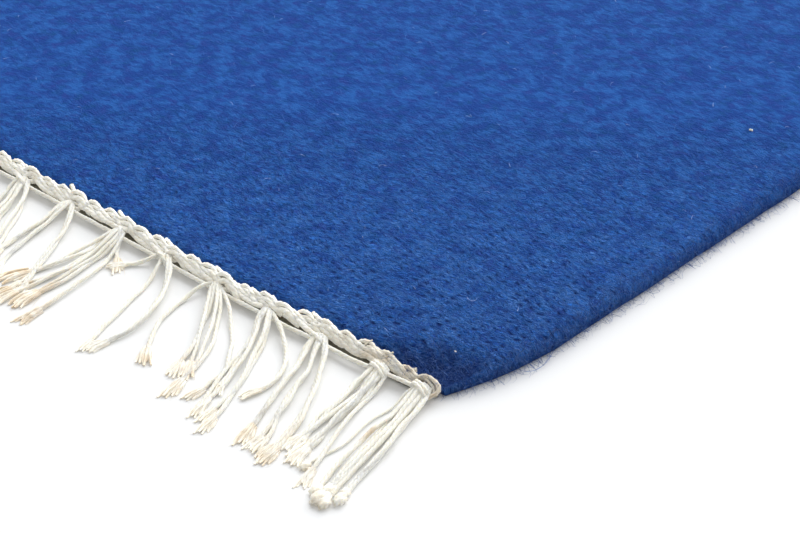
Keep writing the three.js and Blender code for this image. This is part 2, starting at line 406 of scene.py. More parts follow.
@dataclass(frozen=True)
class WoolFinish:
    """Dyed and lightly felted wool in a weft-faced weave."""

    name: str = "wool_blue"
    # The deep blue is painted shade, laid in the gaps between floats and on the sunk parts of the cloth.
    deep: tuple = (0.0019, 0.029, 0.207, 1)
    body: tuple = (0.0108, 0.089, 0.475, 1)
    bright: tuple = (0.028, 0.190, 0.722, 1)
    violet: tuple = (0.028, 0.084, 0.475, 1)
    teal: tuple = (0.0075, 0.119, 0.433, 1)
    fibre: tuple = (0.098, 0.29, 0.81, 1)
    sheen_tint: tuple = (0.55, 0.68, 1.0, 1)
    sheen: float = 0.05

    # The weave: the floats' pitches, and the gaps' slant, half sizes across and along, and depths.
    warp_pitch_mm: float = 3.26
    row_pitch_mm: float = 2.2
    pit_slant: float = 0.20
    pit_across: float = 0.27
    pit_along: float = 0.22
    pit_least: float = 0.05
    pit_spread: float = 0.66

    # The relief: its depth, and how far streaks and fibres stand up in it.
    relief_mm: float = 0.75
    streak_height: float = 0.75
    fibre_height: float = 0.16

    # Wear rises from calm to worn between two places, metres along a slant from the rug's middle.
    calm: float = 0.14
    worn: float = 2.05
    wear_from: float = 0.395
    wear_to: float = 0.51
    wear_way: tuple = (0.64, 0.765)

    # Where the clouds and streaks turn the body bright, how strongly the gaps and the sunk parts take painted
    # shade, and how strongly the rest darkens.
    cloud_strength: tuple = (1.75, 3.4)
    mottle_strength: float = 1.9
    streak_strength: float = 0.95
    bright_span: tuple = (0.725, 1.505)
    pit_darkness: float = 0.85
    sunk_darkness: float = 0.86
    dimness: tuple = (0.425, 0.14)

    def coordinates(self, tree: NodeTree) -> NodeSocket:
        """The place on the flat cloth in millimetres, a little uneven as handspun yarn lies."""
        flat = add_node(tree, "ShaderNodeUVMap", {"uv_map": CLOTH_MAP})
        place = add_node(tree, "ShaderNodeVectorMath", {"operation": "SCALE"},
                         {0: flat.outputs[0], "Scale": 1 / MM})
        for pace, reach in ((0.13, (1.8, 1.4, 0)), (0.55, (1.7, 1.2, 0))):
            cloud = clouds(tree, place.outputs[0], pace, 1.0, flat=True)
            centred = add_node(tree, "ShaderNodeVectorMath", {"operation": "SUBTRACT"},
                               {0: cloud.outputs["Color"], 1: (0.5, 0.5, 0.5)})
            place = add_node(tree, "ShaderNodeVectorMath", {"operation": "MULTIPLY_ADD"},
                             {0: centred.outputs[0], 1: reach, 2: place.outputs[0]})
        return place.outputs[0]

    def pits(self, tree: NodeTree, place: NodeSocket) -> NodeSocket:
        """The gaps between neighbouring weft floats, set in a brick pattern: 1 in a gap."""
        split = add_node(tree, "ShaderNodeSeparateXYZ", {}, {0: place})
        column = sums(tree, "DIVIDE", split.outputs[0], self.warp_pitch_mm)
        odd = sums(tree, "MULTIPLY", sums(tree, "PINGPONG", sums(tree, "FLOOR", column), 1.0), 0.5)
        row = sums(tree, "ADD", sums(tree, "DIVIDE", split.outputs[1], self.row_pitch_mm), odd)
        across = sums(tree, "SUBTRACT", sums(tree, "FRACT", column), 0.5)
        along = sums(tree, "SUBTRACT", sums(tree, "FRACT", row), 0.5)
        along = sums(tree, "MULTIPLY_ADD", across, self.pit_slant, along)
        squares = sums(tree, "ADD", sums(tree, "POWER", sums(tree, "DIVIDE", across, self.pit_across), 2.0),
                       sums(tree, "POWER", sums(tree, "DIVIDE", along, self.pit_along), 2.0))
        cell = add_node(tree, "ShaderNodeCombineXYZ", {},
                        {0: sums(tree, "FLOOR", column), 1: sums(tree, "FLOOR", row)})
        chance = add_node(tree, "ShaderNodeTexWhiteNoise", {"noise_dimensions": "2D"},
                          {"Vector": cell.outputs[0]})
        depth = sums(tree, "MULTIPLY_ADD", chance.outputs["Value"], self.pit_spread, self.pit_least)
        return sums(tree, "MULTIPLY", sums(tree, "EXPONENT", sums(tree, "MULTIPLY", squares, -1.0)), depth)

    def streaks(self, tree: NodeTree, place: NodeSocket) -> NodeSocket:
        """Soft unevenness of the yarn, in patches of differing slant."""
        total = None
        for turn, weight in ((-0.5, 0.16), (0.1, 0.20), (0.7, 0.34), (1.3, 0.30)):
            streak = clouds(tree, turned_place(tree, place, turn, (0.90, 1.75)), 1.0, 3.0, 0.55, flat=True)
            share = sums(tree, "MULTIPLY", streak.outputs["Fac"], weight)
            total = share if total is None else sums(tree, "ADD", total, share)
        return remap(tree, total, (0.41, 0.59))

    def fibres(self, tree: NodeTree, place: NodeSocket) -> NodeSocket:
        """Single curving fibres on the surface: 1 on a fibre. They follow level lines of stretched clouds."""
        total = None
        for turn, shift in ((-0.35, 3.0), (0.2, 11.0), (0.6, 23.0), (1.15, 37.0)):
            turned = turned_place(tree, place, turn, (0.36, 1.25), shift)
            cloud = clouds(tree, turned, 1.0, 1.0, 0.4, flat=True)
            off = sums(tree, "ABSOLUTE", sums(tree, "SUBTRACT", cloud.outputs["Fac"], 0.5))
            line = remap(tree, off, (0.0, 0.034), (1.0, 0.0), smooth=True)
            total = line if total is None else sums(tree, "MAXIMUM", total, line)
        return total

    def wear(self, tree: NodeTree) -> NodeSocket:
        """How rough the wool is: felted smooth over the middle, roughened toward the corners."""
        place = add_node(tree, "ShaderNodeTexCoord")
        split = add_node(tree, "ShaderNodeSeparateXYZ", {}, {0: place.outputs["Object"]})
        sides = [sums(tree, "ABSOLUTE", split.outputs[axis]) for axis in (0, 1)]
        outward = sums(tree, "MULTIPLY_ADD", sides[0], self.wear_way[0],
                       sums(tree, "MULTIPLY", sides[1], self.wear_way[1]))
        return remap(tree, outward, (self.wear_from, self.wear_to), (self.calm, self.worn))

    def ground(self, tree: NodeTree, place: NodeSocket) -> NodeSocket:
        """The dye's own colour, here a little more violet and there more teal."""
        cast = clouds(tree, place, 0.26, flat=True).outputs["Fac"]
        colour = self.body
        for span, tint in (((0.53, 0.72), self.violet), ((0.46, 0.28), self.teal)):
            colour = blend_colours(tree, remap(tree, cast, span, (0.0, 0.7)), colour, tint)
        return colour

    def lit_wool(self, tree: NodeTree, place: NodeSocket, wear: NodeSocket, streaks: NodeSocket,
                 fibres: NodeSocket) -> NodeSocket:
        """The colour of the wool's raised parts: clouds, streaks and single pale fibres.

        Args:
            tree: The material's tree.
            place: The place on the flat cloth.
            wear: How rough the wool is there.
            streaks: The yarn's unevenness.
            fibres: The single fibres.

        Returns:
            The colour's socket.
        """
        blotch = clouds(tree, turned_place(tree, place, 0.25, (0.68, 1.4)), 0.45, 1.5, flat=True)
        mottle = clouds(tree, place, 0.15, flat=True).outputs["Fac"]
        uneven = remap(tree, wear, (self.calm, 0.90), self.cloud_strength)
        clouded = sums(tree, "MULTIPLY_ADD", sums(tree, "SUBTRACT", blotch.outputs["Fac"], 0.5), uneven,
                       sums(tree, "MULTIPLY", mottle, self.mottle_strength))
        rough = sums(tree, "MULTIPLY", sums(tree, "MULTIPLY_ADD", streaks, self.streak_strength, -0.46), wear)
        lit = remap(tree, sums(tree, "ADD", rough, clouded), self.bright_span)
        colour = blend_colours(tree, lit, self.ground(tree, place), self.bright)
        shown = sums(tree, "MULTIPLY", fibres, sums(tree, "MULTIPLY_ADD", mottle, 1.2, -0.12))
        shown = sums(tree, "MINIMUM", sums(tree, "MULTIPLY", shown, wear), 1.0)
        return blend_colours(tree, shown, colour, self.fibre)

    def make(self) -> Material:
        """Builds the material."""
        material, tree, output = new_shader(self.name)
        place = self.coordinates(tree)
        wear = self.wear(tree)
        pits = self.pits(tree, place)
        streaks = self.streaks(tree, place)
        fibres = self.fibres(tree, place)
        raised = sums(tree, "MULTIPLY_ADD", fibres, self.fibre_height,
                      sums(tree, "MULTIPLY", streaks, self.streak_height))
        relief = add_node(tree, "ShaderNodeBump", {},
                          {"Strength": 1.0, "Distance": sums(tree, "MULTIPLY", wear, self.relief_mm * MM),
                           "Height": sums(tree, "SUBTRACT", raised, pits)})
        # Painted shade in the gaps between floats, toward the deep blue.
        pit_shade = sums(tree, "MULTIPLY", sums(tree, "MULTIPLY", pits, self.pit_darkness), wear)
        colour = blend_colours(tree, sums(tree, "MINIMUM", pit_shade, 1.0),
                               self.lit_wool(tree, place, wear, streaks, fibres), self.deep)
        # Painted shade on the sunk corner facets and low on the rim, toward the deep blue.
        sunk = add_node(tree, "ShaderNodeAttribute", {"attribute_name": "sunk"})
        colour = blend_colours(tree, sums(tree, "MULTIPLY", sunk.outputs["Fac"], self.sunk_darkness),
                               colour, self.deep)
        dimmed = remap(tree, wear, (self.calm, 1.65), self.dimness, smooth=True)
        colour = blend_colours(tree, dimmed, colour, BLACK)
        shader = add_node(tree, "ShaderNodeBsdfPrincipled", {},
                          {"Base Color": colour, "Roughness": 0.95, "Specular IOR Level": 0.04,
                           "Sheen Weight": self.sheen, "Sheen Roughness": 0.6, "Sheen Tint": self.sheen_tint,
                           "Normal": relief.outputs[0]})
        tree.links.new(shader.outputs[0], output.inputs[0])
        return material


@dataclass(frozen=True)
class HairFinish:
    """Single wool or cotton fibres that stand out of a surface."""

    name: str
    colour: tuple
    pale: tuple
    sheen: float = 0.3

    def make(self) -> Material:
        """Builds the material, with a shade of its own for each patch of hairs."""
        material, tree, output = new_shader(self.name)
        place = add_node(tree, "ShaderNodeTexCoord")
        cloud = clouds(tree, place.outputs["Object"], 900.0, 1.0)
        share = remap(tree, cloud.outputs["Fac"], (0.4, 0.7))
        colour = blend_colours(tree, share, self.colour, self.pale)
        shader = add_node(tree, "ShaderNodeBsdfPrincipled", {},
                          {"Base Color": colour, "Roughness": 0.8, "Specular IOR Level": 0.1,
                           "Sheen Weight": self.sheen, "Sheen Tint": colour})
        tree.links.new(shader.outputs[0], output.inputs[0])
        return material


@dataclass(frozen=True)
class CottonFinish:
    """Undyed cotton cord, with fine fibres along its plies."""

    name: str
    clean: tuple = (0.87, 0.85, 0.78, 1)
    shaded: tuple = (0.76, 0.72, 0.60, 1)
    soiled: tuple = (0.60, 0.47, 0.32, 1)
    # The crevice colour is painted shade, laid where ambient occlusion finds cord close by, with its share
    # and reach.
    crevice: tuple = (0.12, 0.105, 0.065, 1)
    crevice_share: float = 0.25
    crevice_reach_mm: float = 1.8
    relief_mm: float = 0.28
    plies: int = 3
    lay_mm: float = 3.8
    ply_height: float = 0.45
    ply_shade: float = 0.40
    depth: float = 0.8
    depth_mm: float = 0.6
    depth_colour: tuple = (1.0, 0.9, 0.72)
    # The glow is painted light: an emission standing in for the overhead light, strongest where the cotton
    # faces the bright sky.
    glow: float = 0.20
    glow_way: tuple = (-0.30, 0.30, 0.90)
    # The cord darkens toward the corners between two places along X, metres, and loses painted light there.
    grime: float = 0.0
    grime_span: tuple = (0.250, 0.292)
    frayed: bool = False

    @property
    def grain(self) -> tuple:
        """How close the fibres lie: along and across a frayed end, or along and round a cord."""
        return (450, 4200, 4200) if self.frayed else (700, 2.6, 2.6)

    def ridge(self, tree: NodeTree, cord: NodeSocket, place: NodeSocket) -> NodeSocket:
        """The plies that wind round a cord: 1 on top of a ply, 0 between two.

        Args:
            tree: The material's tree.
            cord: The place along and round the cord.
            place: The place on the rug.

        Returns:
            The result's socket.
        """
        split = add_node(tree, "ShaderNodeSeparateXYZ", {}, {0: cord})
        angle = sums(tree, "DIVIDE", sums(tree, "ARCTAN2", split.outputs[2], split.outputs[1]), FULL_TURN)
        phase = sums(tree, "MULTIPLY_ADD", split.outputs[0], self.plies / (self.lay_mm * MM),
                     sums(tree, "MULTIPLY", angle, float(self.plies)))
        wander = clouds(tree, place, 120.0)
        phase = sums(tree, "MULTIPLY_ADD", wander.outputs["Fac"], 2.5, phase)
        return sums(tree, "ABSOLUTE", sums(tree, "SINE", sums(tree, "MULTIPLY", phase, math.pi)))

    def glow_of(self, tree: NodeTree, normal: NodeSocket, worn: NodeSocket) -> NodeSocket:
        """Painted light: an emission standing in for the overhead light, most where the cotton faces the sky,
        less where it darkens toward the corners.

        Args:
            tree: The material's tree.
            normal: The surface's direction.
            worn: How much the cord darkens toward the corners.

        Returns:
            The strength's socket.
        """
        facing = add_node(tree, "ShaderNodeVectorMath", {"operation": "DOT_PRODUCT"},
                          {0: normal, 1: self.glow_way})
        lit = sums(tree, "POWER", sums(tree, "MAXIMUM", facing.outputs["Value"], 0.0), 2.0)
        return sums(tree, "MULTIPLY", sums(tree, "MULTIPLY_ADD", lit, 1.1, 0.55),
                    sums(tree, "MULTIPLY_ADD", worn, -self.glow, self.glow))

    def make(self) -> Material:
        """Builds the material. The attribute cord_map runs along and round a cord, soil marks stains."""
        material, tree, output = new_shader(self.name)
        cord = add_node(tree, "ShaderNodeAttribute", {"attribute_name": "cord_map"}).outputs["Vector"]
        soil = add_node(tree, "ShaderNodeAttribute", {"attribute_name": "soil"}).outputs["Fac"]
        place = add_node(tree, "ShaderNodeTexCoord").outputs["Object"]
        along = add_node(tree, "ShaderNodeMapping", {}, {"Vector": cord, "Scale": self.grain})
        height = clouds(tree, along.outputs[0], 1.0).outputs["Fac"]
        cloud = clouds(tree, place, 260.0, 3.0).outputs["Fac"]
        colour = blend_colours(tree, remap(tree, cloud, (0.45, 0.72), (0.0, 0.45)), self.clean, self.shaded)
        if not self.frayed:
            ridge = self.ridge(tree, cord, place)
            height = sums(tree, "MULTIPLY_ADD", ridge, self.ply_height, height)
            valley = sums(tree, "POWER", sums(tree, "SUBTRACT", 1.0, ridge), 2.0)
            colour = blend_colours(tree, sums(tree, "MULTIPLY", valley, self.ply_shade), colour, self.shaded)
        relief = add_node(tree, "ShaderNodeBump", {},
                          {"Strength": 0.8, "Distance": self.relief_mm * MM, "Height": height})
        # Darker toward the corners: a share rising along X joins the real stains in the pull toward the
        # soiled colour, and takes off painted light.
        sides = add_node(tree, "ShaderNodeSeparateXYZ", {}, {0: place})
        worn = remap(tree, sums(tree, "ABSOLUTE", sides.outputs[0]), self.grime_span, (0.0, self.grime),
                     smooth=True)
        stained = sums(tree, "MULTIPLY", sums(tree, "ADD", soil, worn),
                       sums(tree, "MULTIPLY_ADD", cloud, 2.2, -0.55))
        stained = sums(tree, "MINIMUM", sums(tree, "MAXIMUM", stained, 0.0), 1.0)
        colour = blend_colours(tree, stained, colour, self.soiled)
        # Painted shade in crevices: the colour turns dark where ambient occlusion finds cord close by.
        occlusion = add_node(tree, "ShaderNodeAmbientOcclusion", {"samples": 6},
                          {"Distance": self.crevice_reach_mm * MM})
        closed = remap(tree, occlusion.outputs["AO"], (0.08, 0.45), (self.crevice_share, 0.0))
        colour = blend_colours(tree, closed, colour, self.crevice)
        # The emission is painted light, standing in for the overhead light.
        shader = add_node(tree, "ShaderNodeBsdfPrincipled", {},
                          {"Base Color": colour, "Roughness": 0.9, "Specular IOR Level": 0.15,
                           "Sheen Weight": 0.1, "Subsurface Weight": self.depth,
                           "Subsurface Radius": self.depth_colour, "Subsurface Scale": self.depth_mm * MM,
                           "Normal": relief.outputs[0], "Emission Color": colour,
                           "Emission Strength": self.glow_of(tree, relief.outputs[0], worn)})
        tree.links.new(shader.outputs[0], output.inputs[0])
        return material


# ------------------------------------------------------------------ shape of the cloth


@dataclass(frozen=True)
class Facet:
    """A slanting facet of the top beside one corner, where the cloth sinks to the plait. Millimetres."""

    side: int
    end: int
    depth: float
    near: float
    far: float
    height: float
    run: float


# near and far: how far from the side the facet begins and ends; height: how far it reaches up the cloth.
CORNER_FACETS = (
    Facet(side=1, end=-1, depth=2.4, near=6.5, far=32, height=15, run=4.5),
    Facet(side=-1, end=-1, depth=1.3, near=8, far=30, height=12, run=8),
    Facet(side=1, end=1, depth=1.2, near=7, far=27, height=13, run=9),
    Facet(side=-1, end=1, depth=1.9, near=7, far=34, height=14, run=9),
)


@dataclass
class ClothForm:
    """The outline and section of the cloth, which the other pieces follow. Metres."""

    half_width: float
    half_length: float
    thick: float
    draw_in: float = 6.5 * MM
    draw_in_run: float = 36 * MM
    corner_round: float = 1.0 * MM
    edge_wander: float = 0.5 * MM
    wander_pace: float = 47 * MM
    wander_run: float = 76 * MM
    swell: float = 0.8 * MM
    top_round: float = 2.6 * MM
    under_round: float = 1.1 * MM

    # The ends' bulge, mm: a rise from the side inward, and swellings as height, place and width.
    RISE = (1.5, 38, 56)
    SWELLINGS = ((1.1, 80, 16), (-0.4, 147, 14))

    @property
    def end_half_width(self) -> float:
        """Half the cloth's width at its ends."""
        return self.half_width - self.draw_in

    def bow_at(self, x: np.ndarray) -> np.ndarray:
        """How far an end bulges past its straight line, at places along it."""
        from_side = (self.half_width - np.abs(x)) / MM
        bow = self.RISE[0] * smooth_step(from_side, *self.RISE[1:])
        for height, place, width in self.SWELLINGS:
            bow = bow + height * np.exp(-((from_side - place) / width) ** 2)
        return MM * bow

    def half_width_at(self, y: np.ndarray) -> np.ndarray:
        """Half the cloth's width at places along its length."""
        from_end = self.half_length - np.abs(y)
        drawn = np.clip(1 - from_end / self.draw_in_run, 0, 1) ** 2
        free = smooth_step(from_end, 0, self.wander_run)
        wander = self.edge_wander * free * (0.5 + 0.5 * np.sin(y / self.wander_pace))
        return self.half_width + self.swell - self.draw_in * drawn - wander

    def dent_at(self, x: np.ndarray, y: np.ndarray) -> np.ndarray:
        """How far the top sinks beside the corners."""
        sink = np.zeros_like(x)
        for facet in CORNER_FACETS:
            from_side = (self.half_width - facet.side * x) / MM
            from_end = (self.half_length - facet.end * y) / MM
            share = np.clip((facet.far - from_side) / (facet.far - facet.near), 0, 1)
            below = facet.height * share - from_end
            fade = smooth_step(from_side, facet.near - 4.5, facet.near + 1.5)
            sink += facet.depth * MM * smooth_step(below, 0, facet.run) * fade
        return sink


@dataclass
class Slab:
    """The flat cloth's points before it is shaped, and how far each lies beyond the top's flat part."""

    x: np.ndarray
    y: np.ndarray
    z: np.ndarray
    run: np.ndarray


@dataclass
class RugField:
    """The woven cloth: a closed slab with a rounded rim, as fine as its soft unevenness needs."""

    # The rings of the rim: how far in from the side, mm, and turns round the two edges, degrees.
    TOP_INSETS = (18, 13, 9.5, 7, 5, 3.6)
    TOP_TURNS = (6, 24, 42, 60, 76)
    UNDER_TURNS = (0, 45)
    UNDER_INSETS = (3, 12)

    # The top's soft waves: height and length, mm, and seed.
    TOP_WAVES = ((0.10, 14, 3), (0.10, 34, 4))

    form: ClothForm
    finish: WoolFinish = field(default_factory=WoolFinish)
    step: float = 6 * MM
    rim: float = 24 * MM
    band: float = 3 * MM
    bulge_run: float = 90 * MM
    rim_wave: float = 0.22
    rim_wave_length: float = 8 * MM
    hairy_from: float = 22 * MM
    hairy_full: float = 12 * MM
    # Painted shade low on the rim: the height where it has faded out, and its strength at the floor.
    deep_below: float = 3.6 * MM
    deepest: float = 0.8

    def rim_rings(self) -> list[tuple[float, float]]:
        """Inset and height of each ring, from the top's inner edge round to the underside's."""
        form = self.form
        top = [(self.rim, form.thick)] + [(inset * MM, form.thick) for inset in self.TOP_INSETS]
        upper = [(form.top_round * (1 - math.sin(turn)), form.thick - form.top_round * (1 - math.cos(turn)))
                 for turn in np.radians(self.TOP_TURNS)]
        lower = [(form.under_round * (1 - math.cos(turn)), form.under_round * (1 - math.sin(turn)))
                 for turn in np.radians(self.UNDER_TURNS)]
        return top + upper + lower + [(inset * MM, 0.0) for inset in self.UNDER_INSETS] + [(self.rim, 0.0)]

    def outline(self, u: np.ndarray, v: np.ndarray, inset: float) -> tuple[np.ndarray, np.ndarray]:
        """Points of the outline, set in by an amount.

        Args:
            u: Shares of the half width, on the edge of a square of -1 to 1.
            v: Shares of the half length, on the same edge.
            inset: How far in from the outline.

        Returns:
            X and Y before the draw-in.
        """
        a, b = self.form.half_width - inset, self.form.half_length - inset
        radius = max(self.form.corner_round - inset, 0.01 * MM)
        x, y = u * a, v * b
        past_x = np.clip((np.abs(x) - (a - radius)) / radius, 0, 1)
        past_y = np.clip((np.abs(y) - (b - radius)) / radius, 0, 1)
        in_corner = (past_x > 0) & (past_y > 0)
        angle = np.where(past_x >= 1, past_y * math.pi / 4, math.pi / 2 - past_x * math.pi / 4)
        corner_x = np.sign(x) * (a - radius + radius * np.cos(angle))
        corner_y = np.sign(y) * (b - radius + radius * np.sin(angle))
        return np.where(in_corner, corner_x, x), np.where(in_corner, corner_y, y)

    def walk_round(self, nx: int, ny: int) -> list[tuple[int, int]]:
        """The outer cells of a grid of nx by ny points, in order, once round."""
        walk = [(i, 0) for i in range(nx - 1)] + [(nx - 1, j) for j in range(ny - 1)]
        return walk + [(i, ny - 1) for i in range(nx - 1, 0, -1)] + [(0, j) for j in range(ny - 1, 0, -1)]

    def slab(self, across: np.ndarray, along: np.ndarray, walk: list[tuple[int, int]]) -> Slab:
        """The flat cloth: its top, the rings round its rim, and its underside.

        Args:
            across: Shares of the half width, -1 to 1.
            along: Shares of the half length, -1 to 1.
            walk: The grid's outer cells in order.

        Returns:
            The flat cloth.
        """
        form = self.form
        grid_x, grid_y = np.meshgrid(across * (form.half_width - self.rim),
                                     along * (form.half_length - self.rim))
        inner = np.ones(grid_x.size)
        walk_u = np.array([across[i] for i, _ in walk])
        walk_v = np.array([along[j] for _, j in walk])
        blocks = [np.stack([grid_x.ravel(), grid_y.ravel(), form.thick * inner, 0 * inner])]
        rings = self.rim_rings()
        travelled = 0.0
        for last, (inset, height) in zip(rings, rings[1:-1]):
            travelled += math.hypot(inset - last[0], height - last[1])
            x, y = self.outline(walk_u, walk_v, inset)
            blocks.append(np.stack([x, y, np.full(len(walk), height), np.full(len(walk), travelled)]))
        blocks.append(np.stack([grid_x.ravel(), grid_y.ravel(), 0 * inner, self.rim * inner]))
        return Slab(*np.concatenate(blocks, axis=1))

    def faces(self, nx: int, ny: int, walk: list[tuple[int, int]]) -> list[tuple]:
        """The faces of the top, of the underside, and of the rim between them.

        Args:
            nx: How many points there are across.
            ny: How many points there are along.
            walk: The grid's outer cells in order.

        Returns:
            Rings of vertex numbers.
        """
        count, cells, rows = len(walk), nx * ny, len(self.rim_rings()) - 2
        under = cells + count * rows
        edge = [j * nx + i for i, j in walk]
        loops = [edge] + [list(range(cells + k * count, cells + (k + 1) * count)) for k in range(rows)]
        loops.append([under + number for number in edge])
        faces = [(j * nx + i, j * nx + i + 1, (j + 1) * nx + i + 1, (j + 1) * nx + i)
                 for j in range(ny - 1) for i in range(nx - 1)]
        faces += [tuple(under + number for number in reversed(face)) for face in faces]
        for upper, lower in zip(loops, loops[1:]):
            for k in range(count):
                after = (k + 1) % count
                faces.append((upper[k], lower[k], lower[after], upper[after]))
        return faces

    def on_rim(self, slab: Slab) -> np.ndarray:
        """How much a point is on the rim: 1 on it, 0 on the top and underside."""
        return smooth_step(slab.run, self.rim - self.band, self.rim) * (slab.z > 0.3 * MM)

    def shaped(self, slab: Slab) -> np.ndarray:
        """Draws the ends in, sinks the corners, and lets the top and rim wander and the ends bulge."""
        form = self.form
        x = slab.x * form.half_width_at(slab.y) / form.half_width
        on_top = smooth_step(slab.z, form.thick / 2, form.thick)
        waves = sum(height * ripple(x, slab.y, length * MM, seed) for height, length, seed in self.TOP_WAVES)
        z = slab.z - on_top * form.dent_at(x, slab.y) + on_top * MM * waves
        push = self.on_rim(slab) * MM * self.rim_wave * ripple(x, slab.y, self.rim_wave_length, 5)
        x = x + push * np.sign(x) * (np.abs(slab.x) > form.half_width - self.band)
        y = slab.y + push * np.sign(slab.y) * (np.abs(slab.y) > form.half_length - self.band)
        at_end = smooth_step(np.abs(slab.y), form.half_length - self.bulge_run, form.half_length)
        y += np.sign(y) * form.bow_at(x) * at_end
        return np.stack([x, y, z], 1)

    def mark(self, cloth: Object, x: np.ndarray, slab: Slab) -> None:
        """Marks where hairs stand out of the rim, and where the wool takes painted shade: on the sunk corner
        facets and low on the rim.

        Args:
            cloth: The cloth's object.
            x: X of each point of the shaped cloth.
            slab: The flat cloth.
        """
        form = self.form
        on_top = smooth_step(slab.z, form.thick / 2, form.thick)
        # The sunk corner facets take painted shade in step with their depth; the same share thickens the
        # hairs there.
        sunk = on_top * np.clip(form.dent_at(x, slab.y) / MM, 0, 1)
        at_side = smooth_step(np.abs(x), form.half_width - self.hairy_from, form.half_width - self.hairy_full)
        hairy = self.on_rim(slab) * (slab.z > 0.5 * MM) * at_side
        # Painted shade low on the rim, strongest at the floor.
        low = self.deepest - self.deepest * smooth_step(slab.z, 0.2 * MM, self.deep_below)
        set_attribute(cloth, "rim", "FLOAT", np.maximum(hairy, 0.5 * sunk))
        set_attribute(cloth, "sunk", "FLOAT", np.maximum(sunk, low))

    def lay_map(self, cloth: Object, slab: Slab) -> None:
        """Gives the cloth its flat map, which carries on over the rim.

        Args:
            cloth: The cloth's object.
            slab: The flat cloth.
        """
        inner_x, inner_y = self.form.half_width - self.rim, self.form.half_length - self.rim
        from_side = self.form.half_width - np.abs(slab.x)
        from_end = self.form.half_length - np.abs(slab.y)
        beside = (from_side < self.rim - MM) & (from_side < from_end)
        before = (from_end < self.rim - MM) & (from_end < from_side)
        u = np.where(beside, np.sign(slab.x) * (inner_x + slab.run), slab.x)
        v = np.where(before, np.sign(slab.y) * (inner_y + slab.run), slab.y)
        numbers = np.zeros(len(cloth.data.loops), np.int32)
        cloth.data.loops.foreach_get("vertex_index", numbers)
        layer = cloth.data.uv_layers.new(name=CLOTH_MAP)
        layer.data.foreach_set("uv", np.stack([u[numbers], v[numbers]], 1).astype(np.float32).ravel())

    def build(self) -> Object:
        """Builds the cloth's mesh with its map and edge marks."""
        across, along = (np.linspace(-1, 1, 2 * round((half - self.rim) / self.step) + 1)
                         for half in (self.form.half_width, self.form.half_length))
        walk = self.walk_round(len(across), len(along))
        slab = self.slab(across, along, walk)
        points = self.shaped(slab)
        cloth = mesh_object("rug_cloth", points, (), self.faces(len(across), len(along), walk))
        self.mark(cloth, points[:, 0], slab)
        self.lay_map(cloth, slab)
        cloth.data.shade_smooth()
        cloth.data.materials.append(self.finish.make())
        return cloth


# ------------------------------------------------------------------ hairs


@dataclass
class HairKind:
    """A few hairs of one sort, to be strewn by the hundred. Millimetres."""

    name: str
    lengths: tuple[float, float]
    rises: tuple[float, float]
    bends: tuple[float, float]
    width: float
    variants: int = 8
    segments: int = 3
    seed: int = 11

    def build(self) -> Collection:
        """Makes the variants in a collection of their own, outside the scene."""
        draw = np.random.default_rng(self.seed)
        home = bpy.data.collections.new(self.name)
        for number in range(self.variants):
            length = draw.uniform(*self.lengths)
            rise = draw.uniform(*self.rises)
            bend = draw.uniform(*self.bends) * draw.choice([-1, 1])
            share = np.linspace(0, 1, self.segments + 1)
            middle = np.stack([length * share, bend * share ** 2, rise * np.sin(share * math.pi * 0.8)], 1)
            half = self.width / 2 * (1 - 0.6 * share)
            side = np.stack([-np.gradient(middle[:, 1]), np.gradient(middle[:, 0]), 0 * share], 1)
            side /= np.linalg.norm(side, axis=1)[:, None]
            points = np.concatenate([middle - side * half[:, None], middle + side * half[:, None]]) * MM
            count = self.segments + 1
            faces = [(k, k + 1, count + k + 1, count + k) for k in range(self.segments)]
            taken_out(mesh_object(f"{self.name}_{number}", points, (), faces), home)
        return home


